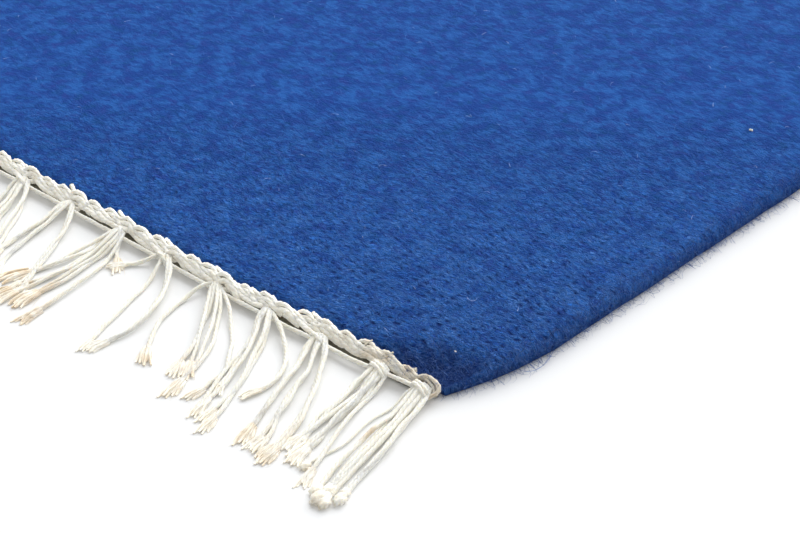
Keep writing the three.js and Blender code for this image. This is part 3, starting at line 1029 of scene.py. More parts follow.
@dataclass
class Fuzz:
    """Loose wool fibres over the cloth's face and thicker along its rim."""

    per_square_metre: float
    on_rim: float
    seed: int
    spread: float = 1.1
    lowest_facing: float = -0.3

    def tree(self) -> NodeTree:
        """The tree that strews hairs on a surface, mostly along the weft."""
        tree, source, result = new_geometry_tree("fuzz_tree", {
            "Density": "NodeSocketFloat",
            "Rim Density": "NodeSocketFloat",
            "Spread": "NodeSocketFloat",
            "Seed": "NodeSocketInt",
            "Hairs": "NodeSocketCollection",
            "Finish": "NodeSocketMaterial",
        })
        normal = add_node(tree, "GeometryNodeInputNormal")
        upward = add_node(tree, "ShaderNodeSeparateXYZ", {}, {0: normal.outputs[0]})
        density = sums(tree, "MULTIPLY_ADD", named_value(tree, "rim"), source.outputs["Rim Density"],
                       source.outputs["Density"])
        facing = add_node(tree, "FunctionNodeCompare", {"operation": "GREATER_THAN"},
                          {0: upward.outputs[2], 1: self.lowest_facing})
        points = add_node(tree, "GeometryNodeDistributePointsOnFaces", {},
                          {"Mesh": source.outputs[0], "Selection": facing.outputs[0], "Density": density,
                           "Seed": source.outputs["Seed"]})
        flip = add_node(tree, "FunctionNodeRandomValue", {"data_type": "BOOLEAN"},
                        {"Probability": 0.5, "Seed": 4})
        swing = sums(tree, "MULTIPLY", random_value(tree, -1.0, 1.0, 3), source.outputs["Spread"])
        heading = sums(tree, "MULTIPLY_ADD", flip.outputs[3], math.pi, swing)
        euler = add_node(tree, "ShaderNodeCombineXYZ", {}, {2: heading})
        aligned = add_node(tree, "FunctionNodeAlignRotationToVector", {"axis": "Z"},
                           {"Rotation": euler.outputs[0], "Vector": points.outputs["Normal"]})
        hairs = strewn(tree, points.outputs[0], source.outputs["Hairs"], aligned.outputs[0],
                       random_value(tree, 0.6, 1.35, 5))
        tree.links.new(finished(tree, hairs, source.outputs["Finish"]), result.inputs[0])
        return tree

    def build(self, cloth: Object, hairs: HairKind, finish: HairFinish, name: str) -> Object:
        """Strews the hairs.

        Args:
            cloth: The cloth they grow from.
            hairs: The sort of hair.
            finish: Their finish.
            name: The piece's name.

        Returns:
            The hairs as one mesh.
        """
        home = hairs.build()
        ground = bpy.data.objects.new("fuzz_ground", cloth.data.copy())
        bpy.context.scene.collection.objects.link(ground)
        made = grown(ground, self.tree(), {
            "Density": self.per_square_metre, "Rim Density": self.on_rim,
            "Spread": self.spread, "Seed": self.seed, "Hairs": home, "Finish": finish.make(),
        }, name)
        clear_collection(home)
        return made


# Two long hairs that have worked loose beside one corner: places on the rug and heights, mm.
LOOSE_HAIRS = (
    ((297.4, -431.0, 2.8), (298.7, -430.3, 1.2), (300.5, -430.1, 0.5), (302.3, -428.5, 0.5),
     (302.7, -425.2, 0.5), (301.3, -420.2, 0.5), (299.1, -415.5, 0.9), (298.6, -414.2, 2.0)),
    ((295.6, -426.0, 4.2), (297.4, -426.2, 2.8), (299.6, -426.9, 1.3), (302.1, -427.5, 0.5)),
)

# A short pale hair lying on the wool, mm.
PALE_HAIR = ((274.7, -420.1, 4.8), (275.7, -420.6, 4.75), (276.7, -420.3, 4.7), (276.9, -419.4, 4.75),
             (276.6, -418.6, 4.8))

# Crumbs of cotton caught in the wool: places and size, mm.
CRUMBS = ((287.0, -438.4, 3.6, 0.55), (275.9, -301.0, 4.7, 0.6))


# ------------------------------------------------------------------ cords


@dataclass
class CordRun:
    """One cord's route, in metres, with its radius and stain at each point."""

    points: np.ndarray
    radii: np.ndarray
    soil: np.ndarray

    @classmethod
    def plain(cls, points: np.ndarray, radius: float) -> "CordRun":
        """A clean cord, equally thick all along."""
        return cls(points, np.full(len(points), radius), np.zeros(len(points)))


@dataclass
class CordMaker:
    """Turns routes into two-ply twisted cord."""

    step: float = 1.25 * MM
    lay: float = 13 * MM
    groove: float = 0.12
    sides: int = 8

    def tree(self) -> NodeTree:
        """The tree that sweeps a two-lobed section along each route and twists it."""
        tree, source, result = new_geometry_tree("cord_tree", {
            "Step": "NodeSocketFloat",
            "Lay": "NodeSocketFloat",
            "Groove": "NodeSocketFloat",
            "Sides": "NodeSocketInt",
            "Finish": "NodeSocketMaterial",
        })
        routes = add_node(tree, "GeometryNodeMeshToCurve", {}, {0: source.outputs[0]})
        curved = add_node(tree, "GeometryNodeCurveSplineType", {"spline_type": "CATMULL_ROM"},
                          {0: routes.outputs[0]})
        even = add_node(tree, "GeometryNodeResampleCurve", {"mode": "LENGTH"},
                        {"Curve": curved.outputs[0], "Length": source.outputs["Step"]})
        travelled = add_node(tree, "GeometryNodeSplineParameter").outputs["Length"]
        which = add_node(tree, "GeometryNodeInputIndex")
        spline = add_node(tree, "GeometryNodeFieldOnDomain", {"domain": "CURVE", "data_type": "INT"},
                          {0: which.outputs[0]})
        phase = add_node(tree, "FunctionNodeRandomValue", {},
                         {"Min": 0.0, "Max": FULL_TURN, "ID": spline.outputs[0], "Seed": 9})
        twist = sums(tree, "MULTIPLY_ADD", sums(tree, "DIVIDE", travelled, source.outputs["Lay"]), FULL_TURN,
                     phase.outputs[1])
        tilted = add_node(tree, "GeometryNodeSetCurveTilt", {}, {"Curve": even.outputs[0], "Tilt": twist})
        along = add_node(tree, "GeometryNodeCaptureAttribute", {"domain": "POINT"},
                         {"Geometry": tilted.outputs[0]})
        along.capture_items.new("FLOAT", "Along")
        tree.links.new(travelled, along.inputs["Along"])
        section, around = self.section(tree, source.outputs["Sides"], source.outputs["Groove"])
        swept = add_node(tree, "GeometryNodeCurveToMesh", {},
                         {"Curve": along.outputs[0], "Profile Curve": section,
                          "Scale": named_value(tree, "radius_m"), "Fill Caps": True})
        bearing = add_node(tree, "ShaderNodeSeparateXYZ", {}, {0: around})
        mapping = add_node(tree, "ShaderNodeCombineXYZ", {},
                           {0: along.outputs[1], 1: bearing.outputs[0], 2: bearing.outputs[1]})
        mapped = add_node(tree, "GeometryNodeStoreNamedAttribute",
                          {"data_type": "FLOAT_VECTOR", "domain": "POINT"},
                          {"Geometry": swept.outputs[0], "Name": "cord_map", "Value": mapping.outputs[0]})
        smooth = add_node(tree, "GeometryNodeSetShadeSmooth", {}, {0: mapped.outputs[0]})
        real = add_node(tree, "GeometryNodeRealizeInstances", {}, {0: smooth.outputs[0]})
        tree.links.new(finished(tree, real.outputs[0], source.outputs["Finish"]), result.inputs[0])
        return tree

    def section(self, tree: NodeTree, sides: NodeSocket, groove: NodeSocket) -> tuple[NodeSocket, NodeSocket]:
        """The cord's two-lobed section.

        Args:
            tree: The Geometry Nodes tree.
            sides: How many sides it has.
            groove: How deep the groove between its plies is.

        Returns:
            The section, and the place round it.
        """
        ring = add_node(tree, "GeometryNodeCurvePrimitiveCircle", {}, {"Resolution": sides, "Radius": 1.0})
        around = add_node(tree, "GeometryNodeCaptureAttribute", {"domain": "POINT"},
                          {"Geometry": ring.outputs[0]})
        around.capture_items.new("VECTOR", "Around")
        spot = add_node(tree, "GeometryNodeInputPosition")
        tree.links.new(spot.outputs[0], around.inputs["Around"])
        parts = add_node(tree, "ShaderNodeSeparateXYZ", {}, {0: spot.outputs[0]})
        pinch = sums(tree, "SUBTRACT", 1.0,
                     sums(tree, "MULTIPLY", sums(tree, "POWER", parts.outputs[1], 2.0), groove))
        lobed = add_node(tree, "ShaderNodeVectorMath", {"operation": "SCALE"},
                         {0: spot.outputs[0], "Scale": pinch})
        section = add_node(tree, "GeometryNodeSetPosition", {},
                           {"Geometry": around.outputs[0], "Position": lobed.outputs[0]})
        return section.outputs[0], around.outputs[1]

    def build(self, runs: list[CordRun], material: Material, name: str) -> Object:
        """Makes all the cords of a piece.

        Args:
            runs: The cords' routes.
            material: Their material.
            name: The piece's name.

        Returns:
            The cords as one mesh.
        """
        points = np.concatenate([run.points for run in runs])
        edges, start = [], 0
        for run in runs:
            edges += [(start + k, start + k + 1) for k in range(len(run.points) - 1)]
            start += len(run.points)
        routes = mesh_object("cord_routes", points, edges)
        set_attribute(routes, "radius_m", "FLOAT", np.concatenate([run.radii for run in runs]))
        set_attribute(routes, "soil", "FLOAT", np.concatenate([run.soil for run in runs]))
        return grown(routes, self.tree(), {
            "Step": self.step, "Lay": self.lay, "Groove": self.groove, "Sides": self.sides,
            "Finish": material,
        }, name)


def route_points(places: Sequence[dict]) -> np.ndarray:
    """A route's points: along the end, out from the cloth and up from the floor. Metres."""
    return np.array([[spot["along"], spot["out"], spot["up"]] for spot in places]) * MM


@dataclass
class EndBraid:
    """The plait along one end: cord pairs that climb over the cloth's edge and run on below."""

    form: ClothForm
    end: End
    knots: np.ndarray
    link_pitch: float = 6.51 * MM
    first_inset: float = 12.4 * MM
    last_inset: float = 2.5 * MM
    cord_radius: float = 0.80 * MM
    core_radius: float = 1.10 * MM
    core_height: float = 2.9 * MM
    under_radius: float = 0.78 * MM
    cut_radius: float = 0.36 * MM
    link_fault: float = 0.13 * MM
    sag: float = 1.6 * MM
    sag_run: float = 26 * MM
    pulled: float = 0.8 * MM
    pull_run: float = 44 * MM
    knot_reach: float = 3.8 * MM
    slit: float = 1.6 * MM
    variants: int = 4

    # Where the slit behind a knot opens and closes again, mm past it.
    SLIT_OPENS = (-1, 3)
    SLIT_CLOSES = (6, 13)

    # How the two cords of a link lie beside each other, mm, and how much thinner the second one is.
    PAIR_OFFSET = (0.45, 0.40, -0.40)
    PAIR_SIZES = (1.0, 0.78)

    # The routes of the two rows of links: along the end, out from the cloth and up from the floor, mm.
    UPPER_ROUTE = (
        {"along": -3.2, "out": 1.2, "up": 2.9},
        {"along": -2.2, "out": 0.65, "up": 3.6},
        {"along": -0.6, "out": 0.45, "up": 4.0},
        {"along": 1.0, "out": 0.75, "up": 3.95},
        {"along": 2.5, "out": 1.25, "up": 3.5},
        {"along": 3.9, "out": 1.55, "up": 2.9},
        {"along": 5.2, "out": 1.3, "up": 2.2},
    )
    LOWER_ROUTE = (
        {"along": -5.6, "out": 1.3, "up": 3.0},
        {"along": -3.6, "out": 1.9, "up": 3.15},
        {"along": -1.2, "out": 2.3, "up": 2.95},
        {"along": 1.3, "out": 2.6, "up": 2.65},
        {"along": 3.8, "out": 2.8, "up": 2.35},
        {"along": 6.0, "out": 2.2, "up": 2.15},
        {"along": 8.2, "out": 1.0, "up": 2.2},
    )
    # How the two uppermost cords turn down at a corner: out from it, out from the cloth, and up, mm.
    CORNER_ROUTE = (
        {"along": -7.4, "out": 1.2, "up": 2.4},
        {"along": -5.4, "out": 0.6, "up": 3.3},
        {"along": -3.0, "out": 0.7, "up": 3.7},
        {"along": -0.9, "out": 1.2, "up": 3.2},
        {"along": 0.0, "out": 2.2, "up": 2.3},
        {"along": -0.6, "out": 3.6, "up": 1.7},
        {"along": -1.6, "out": 5.4, "up": 1.2},
    )

    # Short cut ends of yarn left standing over the cloth's edge near one corner.
    CUT_ENDS = ({"from_corner": 16.9, "height": 1.1}, {"from_corner": 23.6, "height": 1.0})

    @property
    def first_link(self) -> float:
        """Where the link nearest the right corner is."""
        return self.form.end_half_width - self.first_inset

    @property
    def links(self) -> int:
        """How many links reach from corner to corner."""
        return int((self.first_link + self.form.end_half_width - self.last_inset) / self.link_pitch) + 1

    def sunk_at(self, x: np.ndarray) -> np.ndarray:
        """How far the plait sags near the corners."""
        half = self.form.end_half_width
        return self.sag * smooth_step(np.abs(x), half - self.sag_run, half)

    def core_run(self) -> CordRun:
        """The strand under the links."""
        half = self.form.end_half_width - 4 * MM
        x = np.linspace(half, -half, 120)
        y = -(self.form.half_length + 0.75 * MM + 0.8 * self.form.bow_at(x))
        return CordRun.plain(np.stack([x, y, self.core_height - self.sunk_at(x)], 1), self.core_radius)

    def corner_runs(self) -> list[CordRun]:
        """The two cords that turn down round each corner."""
        turn = route_points(self.CORNER_ROUTE) * [1, -1, 1]
        corner = np.array([self.form.end_half_width, -self.form.half_length, 0.0])
        runs = []
        for hand in (1, -1):
            for offset in (-0.5 * MM, 0.5 * MM):
                spots = turn + (corner + np.array([1, 0.3, 0.8]) * offset)
                runs.append(CordRun.plain(spots * [hand, 1, 1], 0.85 * self.cord_radius))
        return runs

    def cut_runs(self) -> list[CordRun]:
        """The cut ends of yarn that stand over the cloth's edge."""
        share = np.linspace(0, 1, 4)
        runs = []
        for cut in self.CUT_ENDS:
            place = self.form.end_half_width - cut["from_corner"] * MM
            foot = 4.6 * MM - float(self.sunk_at(np.array(place))) - 0.6 * MM
            end = np.stack([place + 0.9 * MM * share, -self.form.half_length - (0.9 - 1.7 * share) * MM,
                            foot + cut["height"] * MM * share], 1)
            runs.append(CordRun(end, self.cut_radius * (1 - 0.3 * share), 0 * share))
        return runs

    def under_run(self) -> CordRun:
        """A nearly black strand on the floor behind the fringe's running cord: painted shadow in the slit
        under the plait, which also keeps light out.
        """
        half = self.form.end_half_width - 7 * MM
        x = np.linspace(half, -half, 90)
        y = -(self.form.half_length + 2.3 * MM + 0.5 * self.form.bow_at(x))
        return CordRun.plain(np.stack([x, y, np.full(len(x), 0.80 * MM)], 1), self.under_radius)

    def gap_at(self, x: np.ndarray) -> np.ndarray:
        """How much the lower links stand back from the running cord: 1 past each knot, 0 before the next."""
        past = x[:, None] + self.knot_reach - self.knots[None, :]
        past = np.where(past > self.SLIT_OPENS[0] * MM, past, FAR).min(axis=1)
        opened, closed = (smooth_step(past, low * MM, high * MM)
                          for low, high in (self.SLIT_OPENS, self.SLIT_CLOSES))
        return opened * (1 - closed)

    def link_runs(self, places: Sequence[dict], seed: int) -> list[CordRun]:
        """The two cords of one link, with small faults of its own.

        Args:
            places: The link's route.
            seed: Picks the faults.

        Returns:
            The cords' routes.
        """
        draw = np.random.default_rng(seed)
        route = route_points(places)
        runs = []
        for side, thick in zip((1, -1), self.PAIR_SIZES):
            offset = side * np.array(self.PAIR_OFFSET) * MM
            points = route + offset + draw.normal(0, self.link_fault, route.shape)
            radii = self.cord_radius * thick * draw.uniform(0.9, 1.08, len(route))
            runs.append(CordRun(points * [1, -1, 1], radii, np.zeros(len(route))))
        return runs

    def tree(self) -> NodeTree:
        """The tree that sets a link at each guide point."""
        tree, source, result = new_geometry_tree("braid_tree", {
            "Links": "NodeSocketCollection",
            "Unevenness": "NodeSocketFloat",
        })
        limit = source.outputs["Unevenness"]
        lowest = add_node(tree, "ShaderNodeCombineXYZ", {},
                          {axis: sums(tree, "MULTIPLY", limit, -1.0) for axis in range(3)})
        highest = add_node(tree, "ShaderNodeCombineXYZ", {}, {axis: limit for axis in range(3)})
        turn = add_node(tree, "FunctionNodeRandomValue", {"data_type": "FLOAT_VECTOR"},
                        {0: lowest.outputs[0], 1: highest.outputs[0], "Seed": 6})
        links = strewn(tree, source.outputs[0], source.outputs["Links"], turn.outputs[0],
                       random_value(tree, 0.95, 1.06, 7))
        tree.links.new(kept_above_floor(tree, links), result.inputs[0])
        return tree

    def row(self, places: Sequence[dict], material: Material, *, shift: float, sag: float, pull: float,
            bowed: float, loose: float, seed: int) -> Object:
        """Makes one row of links.

        Args:
            places: The links' route.
            material: The cotton's material.
            shift: How far the row is moved along the end.
            sag: The share of the plait's sag that it takes near the corners.
            pull: How far it is pulled in near the corners.
            bowed: The share of the cloth's bulge that it follows.
            loose: How far it stands back from the running cord past each knot.
            seed: Picks the links' faults.

        Returns:
            The row as one mesh.
        """
        home = bpy.data.collections.new("braid_links")
        for number in range(self.variants):
            runs = self.link_runs(places, seed + number)
            taken_out(CordMaker(step=0.9 * MM).build(runs, material, f"link_{number}"), home)
        x = self.first_link + shift - self.link_pitch * np.arange(self.links)
        half = self.form.end_half_width
        near = smooth_step(np.abs(x), half - self.pull_run, half - 9 * MM)
        calmed = 1 - 0.5 * smooth_step(np.abs(x), half - self.pull_run, half - 20 * MM)
        inward = pull * near - bowed * self.form.bow_at(x) + loose * self.gap_at(x) * calmed
        spots = np.stack([x, inward - self.form.half_length, -sag * self.sunk_at(x)], 1)
        row = grown(mesh_object("braid_guide", spots), self.tree(), {"Links": home, "Unevenness": 0.10},
                    f"end_plait_{self.end.label}")
        clear_collection(home)
        return row

    def build(self, material: Material, shaded: Material) -> Object:
        """Makes the plait.

        Args:
            material: The cotton's material.
            shaded: The dark material of the strand underneath, painted shadow.

        Returns:
            The plait as one mesh.
        """
        upper = self.row(self.UPPER_ROUTE, material, shift=3 * MM, sag=0.85, pull=0.2 * MM, bowed=1.0,
                         loose=0.0, seed=20)
        lower = self.row(self.LOWER_ROUTE, material, shift=2.6 * MM, sag=0.25, pull=self.pulled, bowed=0.7,
                         loose=self.slit, seed=30)
        inner = [self.core_run(), *self.corner_runs(), *self.cut_runs()]
        core = CordMaker(lay=2 * self.link_pitch, groove=0.30).build(inner, material, "core")
        # The strand underneath is painted shadow: dark cotton in the slit before the running cord.
        under = CordMaker(sides=6).build([self.under_run()], shaded, "under")
        return turned_for(joined(upper, lower, core, under), self.end)


def joined(*parts: Object) -> Object:
    """Joins mesh objects into the first of them.

    Args:
        *parts: The objects.

    Returns:
        The first object, which now holds them all.
    """
    with bpy.context.temp_override(active_object=parts[0], selected_editable_objects=list(parts)):
        bpy.ops.object.join()
    return parts[0]


def turned_for(piece: Object, end: End) -> Object:
    """Turns a front-end piece half round when it is for the back, in its mesh."""
    if end is End.BACK:
        for vertex in piece.data.vertices:
            vertex.co.x, vertex.co.y = -vertex.co.x, -vertex.co.y
    return piece


@dataclass(frozen=True)
class Strands:
    """Some cords of a tassel that lie alike: places beside the knot and reach from the cloth, mm."""

    cords: int
    mid: float
    tip: float
    reach: float
    thick: float = 1.0


@dataclass(frozen=True)
class Lie:
    """How one tassel lies on the floor."""

    shift: float
    wraps: int
    soil: float
    strands: tuple[Strands, ...]
    lumpy: float = 0.0
    loose: float = 1.0
    stained: int | None = None


# The tassels from the right corner on: shift in mm, wraps, soil, and the groups of cords that lie alike.
TASSEL_LIES = (
    Lie(0.4, 2, 0.05, (Strands(2, 3.9, 8, 46), Strands(3, 5.3, 10.2, 47.5), Strands(2, 6.2, 11.8, 44.5),
                       Strands(1, -0.5, 0.4, 43, 0.5)), lumpy=1.0, stained=1),
    Lie(6.1, 2, 0.15, (Strands(3, 2.25, 3.7, 38), Strands(3, 4.25, 7.5, 40),
                       Strands(1, 5.75, 13.1, 46, 0.8))),
    Lie(4.7, 1, 0.5, (Strands(2, 6.6, 13.7, 42), Strands(2, 10.1, 17.7, 44),
                      Strands(2, 14.6, 21.2, 45)), loose=1.4),
    Lie(5.5, 0, 0.1, (Strands(2, 9.45, 16.4, 43), Strands(2, 12.45, 20.9, 45.5), Strands(1, 16.45, 20.4, 33),
                      Strands(1, 7.45, 12.9, 36)), loose=1.5),
    Lie(5.8, 0, 0.5, (Strands(1, 2.4, 9.8, 39), Strands(2, 10.9, 18.8, 36), Strands(2, 15.9, 23.8, 42),
                      Strands(1, 21.4, 27.8, 40)), loose=1.9),
    Lie(4.8, 1, 0.1, (Strands(1, 8.1, 16.2, 44), Strands(2, 13.6, 17.2, 42),
                      Strands(1, -3.4, -7.3, 17)), loose=1.6),
    Lie(4.5, 0, 1.0, (Strands(2, 0.1, -3.3, 36), Strands(2, 2.6, 1.2, 45), Strands(2, 5.1, 6.7, 41),
                      Strands(1, 7.6, 11.7, 47), Strands(1, 4.6, 10.2, 16)), loose=2.6),
    Lie(2.1, 0, 0.1, (Strands(2, 0.9, 3.7, 33), Strands(2, 4.0, 8.5, 38),
                      Strands(2, 12.6, 19.2, 40)), loose=2.2),
    Lie(1.2, 1, 0.6, (Strands(2, 6.1, 14.2, 38), Strands(2, 9.6, 18.2, 41),
                      Strands(2, 14.1, 23.2, 40)), loose=2.0),
    Lie(1.4, 0, 0.1, (Strands(2, 4.6, 10.2, 41), Strands(2, 8.1, 15.2, 43),
                      Strands(1, 12.1, 17.2, 36)), loose=2.0),
)

# Each further run of ten tassels repeats the lies, swept less to the side and cut a little shorter.
RUN_CHANGES = ({"sweep": 1.0, "reach": 1.0}, {"sweep": 0.8, "reach": 0.97}, {"sweep": 0.6, "reach": 0.98},
               {"sweep": 0.75, "reach": 0.95})

# How often a loose cord wavers on its way, and by how much, mm.
WAVERS = ((0.8, 0.28), (1.7, 0.22), (3.4, 0.12))

# Where on their way a tassel's cords fan out, and how wide.
FAN_SHARES = (0, 0.1, 0.3, 1)
FAN_WIDTHS = (1.7 * MM, 2.5 * MM, 1.9 * MM, 0.6 * MM)


@dataclass
class Fringe:
    """One end's fringe: the running cord, and tassels of loose cords knotted on it."""

    form: ClothForm
    end: End
    back: float
    order: int
    seed: int
    tassels: int = 33
    inset: float = 3.8 * MM
    cord_radius: float = 0.63 * MM
    running_radius: float = 0.60 * MM
    running_out: float = 1.7 * MM
    running_height: float = 1.9 * MM
    knot_half_width: float = 1.9 * MM
    knot_top: float = 2.9 * MM
    wrap_pitch: float = 1.05 * MM
    tuft_length: float = 2.2 * MM
    fall_run: float = 12 * MM
    draw_run: float = 26 * MM
    draw_in: float = 1.3 * MM
    draw_up: float = 0.6 * MM
    tips: list = field(default_factory=list)

    def drawn_at(self, x: np.ndarray) -> np.ndarray:
        """How much the running cord is drawn up to the cloth's edge: 1 at the corners, 0 further along."""
        half = self.form.end_half_width
        return smooth_step(np.abs(x), half - self.draw_run, half - 5 * MM)

    @property
    def knots(self) -> np.ndarray:
        """Where the knots are along the end."""
        first = self.form.end_half_width - self.inset
        numbers = np.arange(self.tassels)
        shifts = np.array([TASSEL_LIES[number * self.order % len(TASSEL_LIES)].shift for number in numbers])
        return first - numbers * 2 * first / (self.tassels - 1) + shifts * MM

    def running_cord(self, draw: np.random.Generator) -> CordRun:
        """The cord that runs from knot to knot."""
        half = self.form.end_half_width - 4 * MM
        x = np.linspace(half, -half, 190)
        drawn = self.drawn_at(x)
        out = self.back + self.running_out + 0.45 * self.form.bow_at(x)
        y = -out + self.draw_in * drawn + draw.normal(0, 0.05 * MM, len(x))
        z = self.running_height - 0.2 * MM + self.draw_up * drawn
        return CordRun.plain(np.stack([x, y, z], 1), self.running_radius)

    def cord(self, draw: np.random.Generator, knot_x: float, fan: float, strands: Strands, change: dict,
             layer: int, lie: Lie) -> CordRun:
        """One cord of a tassel, from over the running cord to its tip on the floor.

        Args:
            draw: The random source.
            knot_x: Where the knot is along the end.
            fan: The cord's place across the knot, -1 to 1.
            strands: How it and its like lie.
            change: What this run of tassels changes.
            layer: 0 on the floor, 1 on the cords below.
            lie: How its tassel lies.

        Returns:
            The cord's route.
        """
        share = np.linspace(0, 1, 17)
        mid = strands.mid * change["sweep"] * MM + draw.normal(0, 0.35 * lie.loose * MM)
        tip = strands.tip * change["sweep"] * MM + draw.normal(0, 0.5 * lie.loose * MM)
        reach = (strands.reach * change["reach"] + draw.uniform(-2.0, 0.8)) * MM - self.tuft_length
        waver = sum(draw.normal(0, size * MM) * np.sin(share * FULL_TURN * pace + draw.uniform(0, FULL_TURN))
                    for pace, size in WAVERS)
        spread = fan * np.interp(share, FAN_SHARES, FAN_WIDTHS)
        x = knot_x + (4 * mid - tip) * share + (2 * tip - 4 * mid) * share ** 2
        x += spread + waver * smooth_step(share, 0.03, 0.35)
        drawn = float(self.drawn_at(np.array(knot_x)))
        bulge = float(self.form.bow_at(np.array(knot_x)))
        start = self.back + 0.2 * MM - self.draw_in * drawn + 0.6 * bulge
        y = -(start + (self.form.half_length + reach - start) * share)
        radius = self.cord_radius * strands.thick * (1.10 - 0.10 * lie.loose)
        rest = radius * (0.95 + 1.6 * layer * (1 - smooth_step(share, 0.4, 0.85)))
        fall_end = min(self.fall_run / max(reach, 1 * MM), 0.7) + 0.08 * layer
        top = self.knot_top - abs(fan) * 0.8 * MM + 0.2 * self.draw_up * drawn
        lift = np.abs(draw.normal(0, 0.35 * MM)) * np.sin(share * math.pi) * smooth_step(share, 0.2, 0.5)
        z = top + (rest - top) * smooth_step(share, 0.02, fall_end) + lift
        radii = radius * draw.uniform(0.98, 1.14) * draw.uniform(0.95, 1.05, len(share))
        stain = lie.soil * smooth_step(share, 0.5, 0.95) * draw.uniform(0.3, 1.1)
        stain += 0.08 * smooth_step(share, 0.92, 1)
        return CordRun(np.stack([x, y, z], 1), radii, stain)

    def tassel(self, draw: np.random.Generator, knot_x: float, lie: Lie, change: dict) -> list[CordRun]:
        """All the cords of one tassel and those that bind its neck.

        Args:
            draw: The random source.
            knot_x: Where the knot is along the end.
            lie: How the tassel lies.
            change: What this run of tassels changes.

        Returns:
            The cords' routes.
        """
        total = sum(strands.cords for strands in lie.strands)
        runs = []
        for strands in sorted(lie.strands, key=lambda strands: strands.mid):
            for _ in range(strands.cords):
                number = len(runs)
                fan = 2 * (number + 0.5) / total - 1
                layer = number % 2 if strands.cords > 1 else 0
                runs.append(self.cord(draw, knot_x, fan, strands, change, layer, lie))
        if lie.stained is not None and change is RUN_CHANGES[0]:
            soil = runs[lie.stained].soil
            soil += np.exp(-((np.linspace(0, 1, len(soil)) - 0.52) / 0.08) ** 2)
        for run in runs:
            way = run.points[-1] - run.points[-2]
            self.tips.append((run.points[-1], way, run.soil[-1], draw.random() < lie.lumpy))
        middle = (lie.wraps - 1) / 2
        return runs + [self.binding(draw, knot_x, wrap - middle, lie.wraps) for wrap in range(lie.wraps)]

    def binding(self, draw: np.random.Generator, knot_x: float, place: float, wraps: int) -> CordRun:
        """A cord wrapped slantwise round a tassel's neck.

        Args:
            draw: The random source.
            knot_x: Where the knot is along the end.
            place: Which wrap it is, counted from the middle one.
            wraps: How many there are.

        Returns:
            The cord's route.
        """
        angle = np.linspace(-0.08, 0.62, 13) * FULL_TURN
        drawn = float(self.drawn_at(np.array(knot_x)))
        bulge = float(self.form.bow_at(np.array(knot_x)))
        wide = self.knot_half_width * (1 + 0.22 * wraps) + draw.normal(0, 0.1 * MM)
        tall = (1.15 + 0.13 * wraps) * MM
        x = knot_x + wide * np.cos(angle)
        y = -(self.back + 2.1 * MM + place * self.wrap_pitch - self.draw_in * drawn + 0.5 * bulge)
        y = y - 0.33 * wide * np.cos(angle)
        z = self.running_height + 0.4 * MM + 0.5 * self.draw_up * drawn + tall * np.sin(angle)
        z -= 0.25 * MM * abs(place)
        return CordRun.plain(np.stack([x, y, np.maximum(z, self.cord_radius)], 1), self.cord_radius * 0.85)

    def build(self, material: Material) -> Object:
        """Makes the fringe.

        Args:
            material: The cotton's material.

        Returns:
            The fringe as one mesh.
        """
        draw = np.random.default_rng(self.seed)
        runs = [self.running_cord(draw)]
        for number, knot_x in enumerate(self.knots):
            lie = TASSEL_LIES[number * self.order % len(TASSEL_LIES)]
            change = RUN_CHANGES[min(number // len(TASSEL_LIES), len(RUN_CHANGES) - 1)]
            runs += self.tassel(draw, float(knot_x), lie, change)
        return turned_for(CordMaker().build(runs, material, f"fringe_cords_{self.end.label}"), self.end)


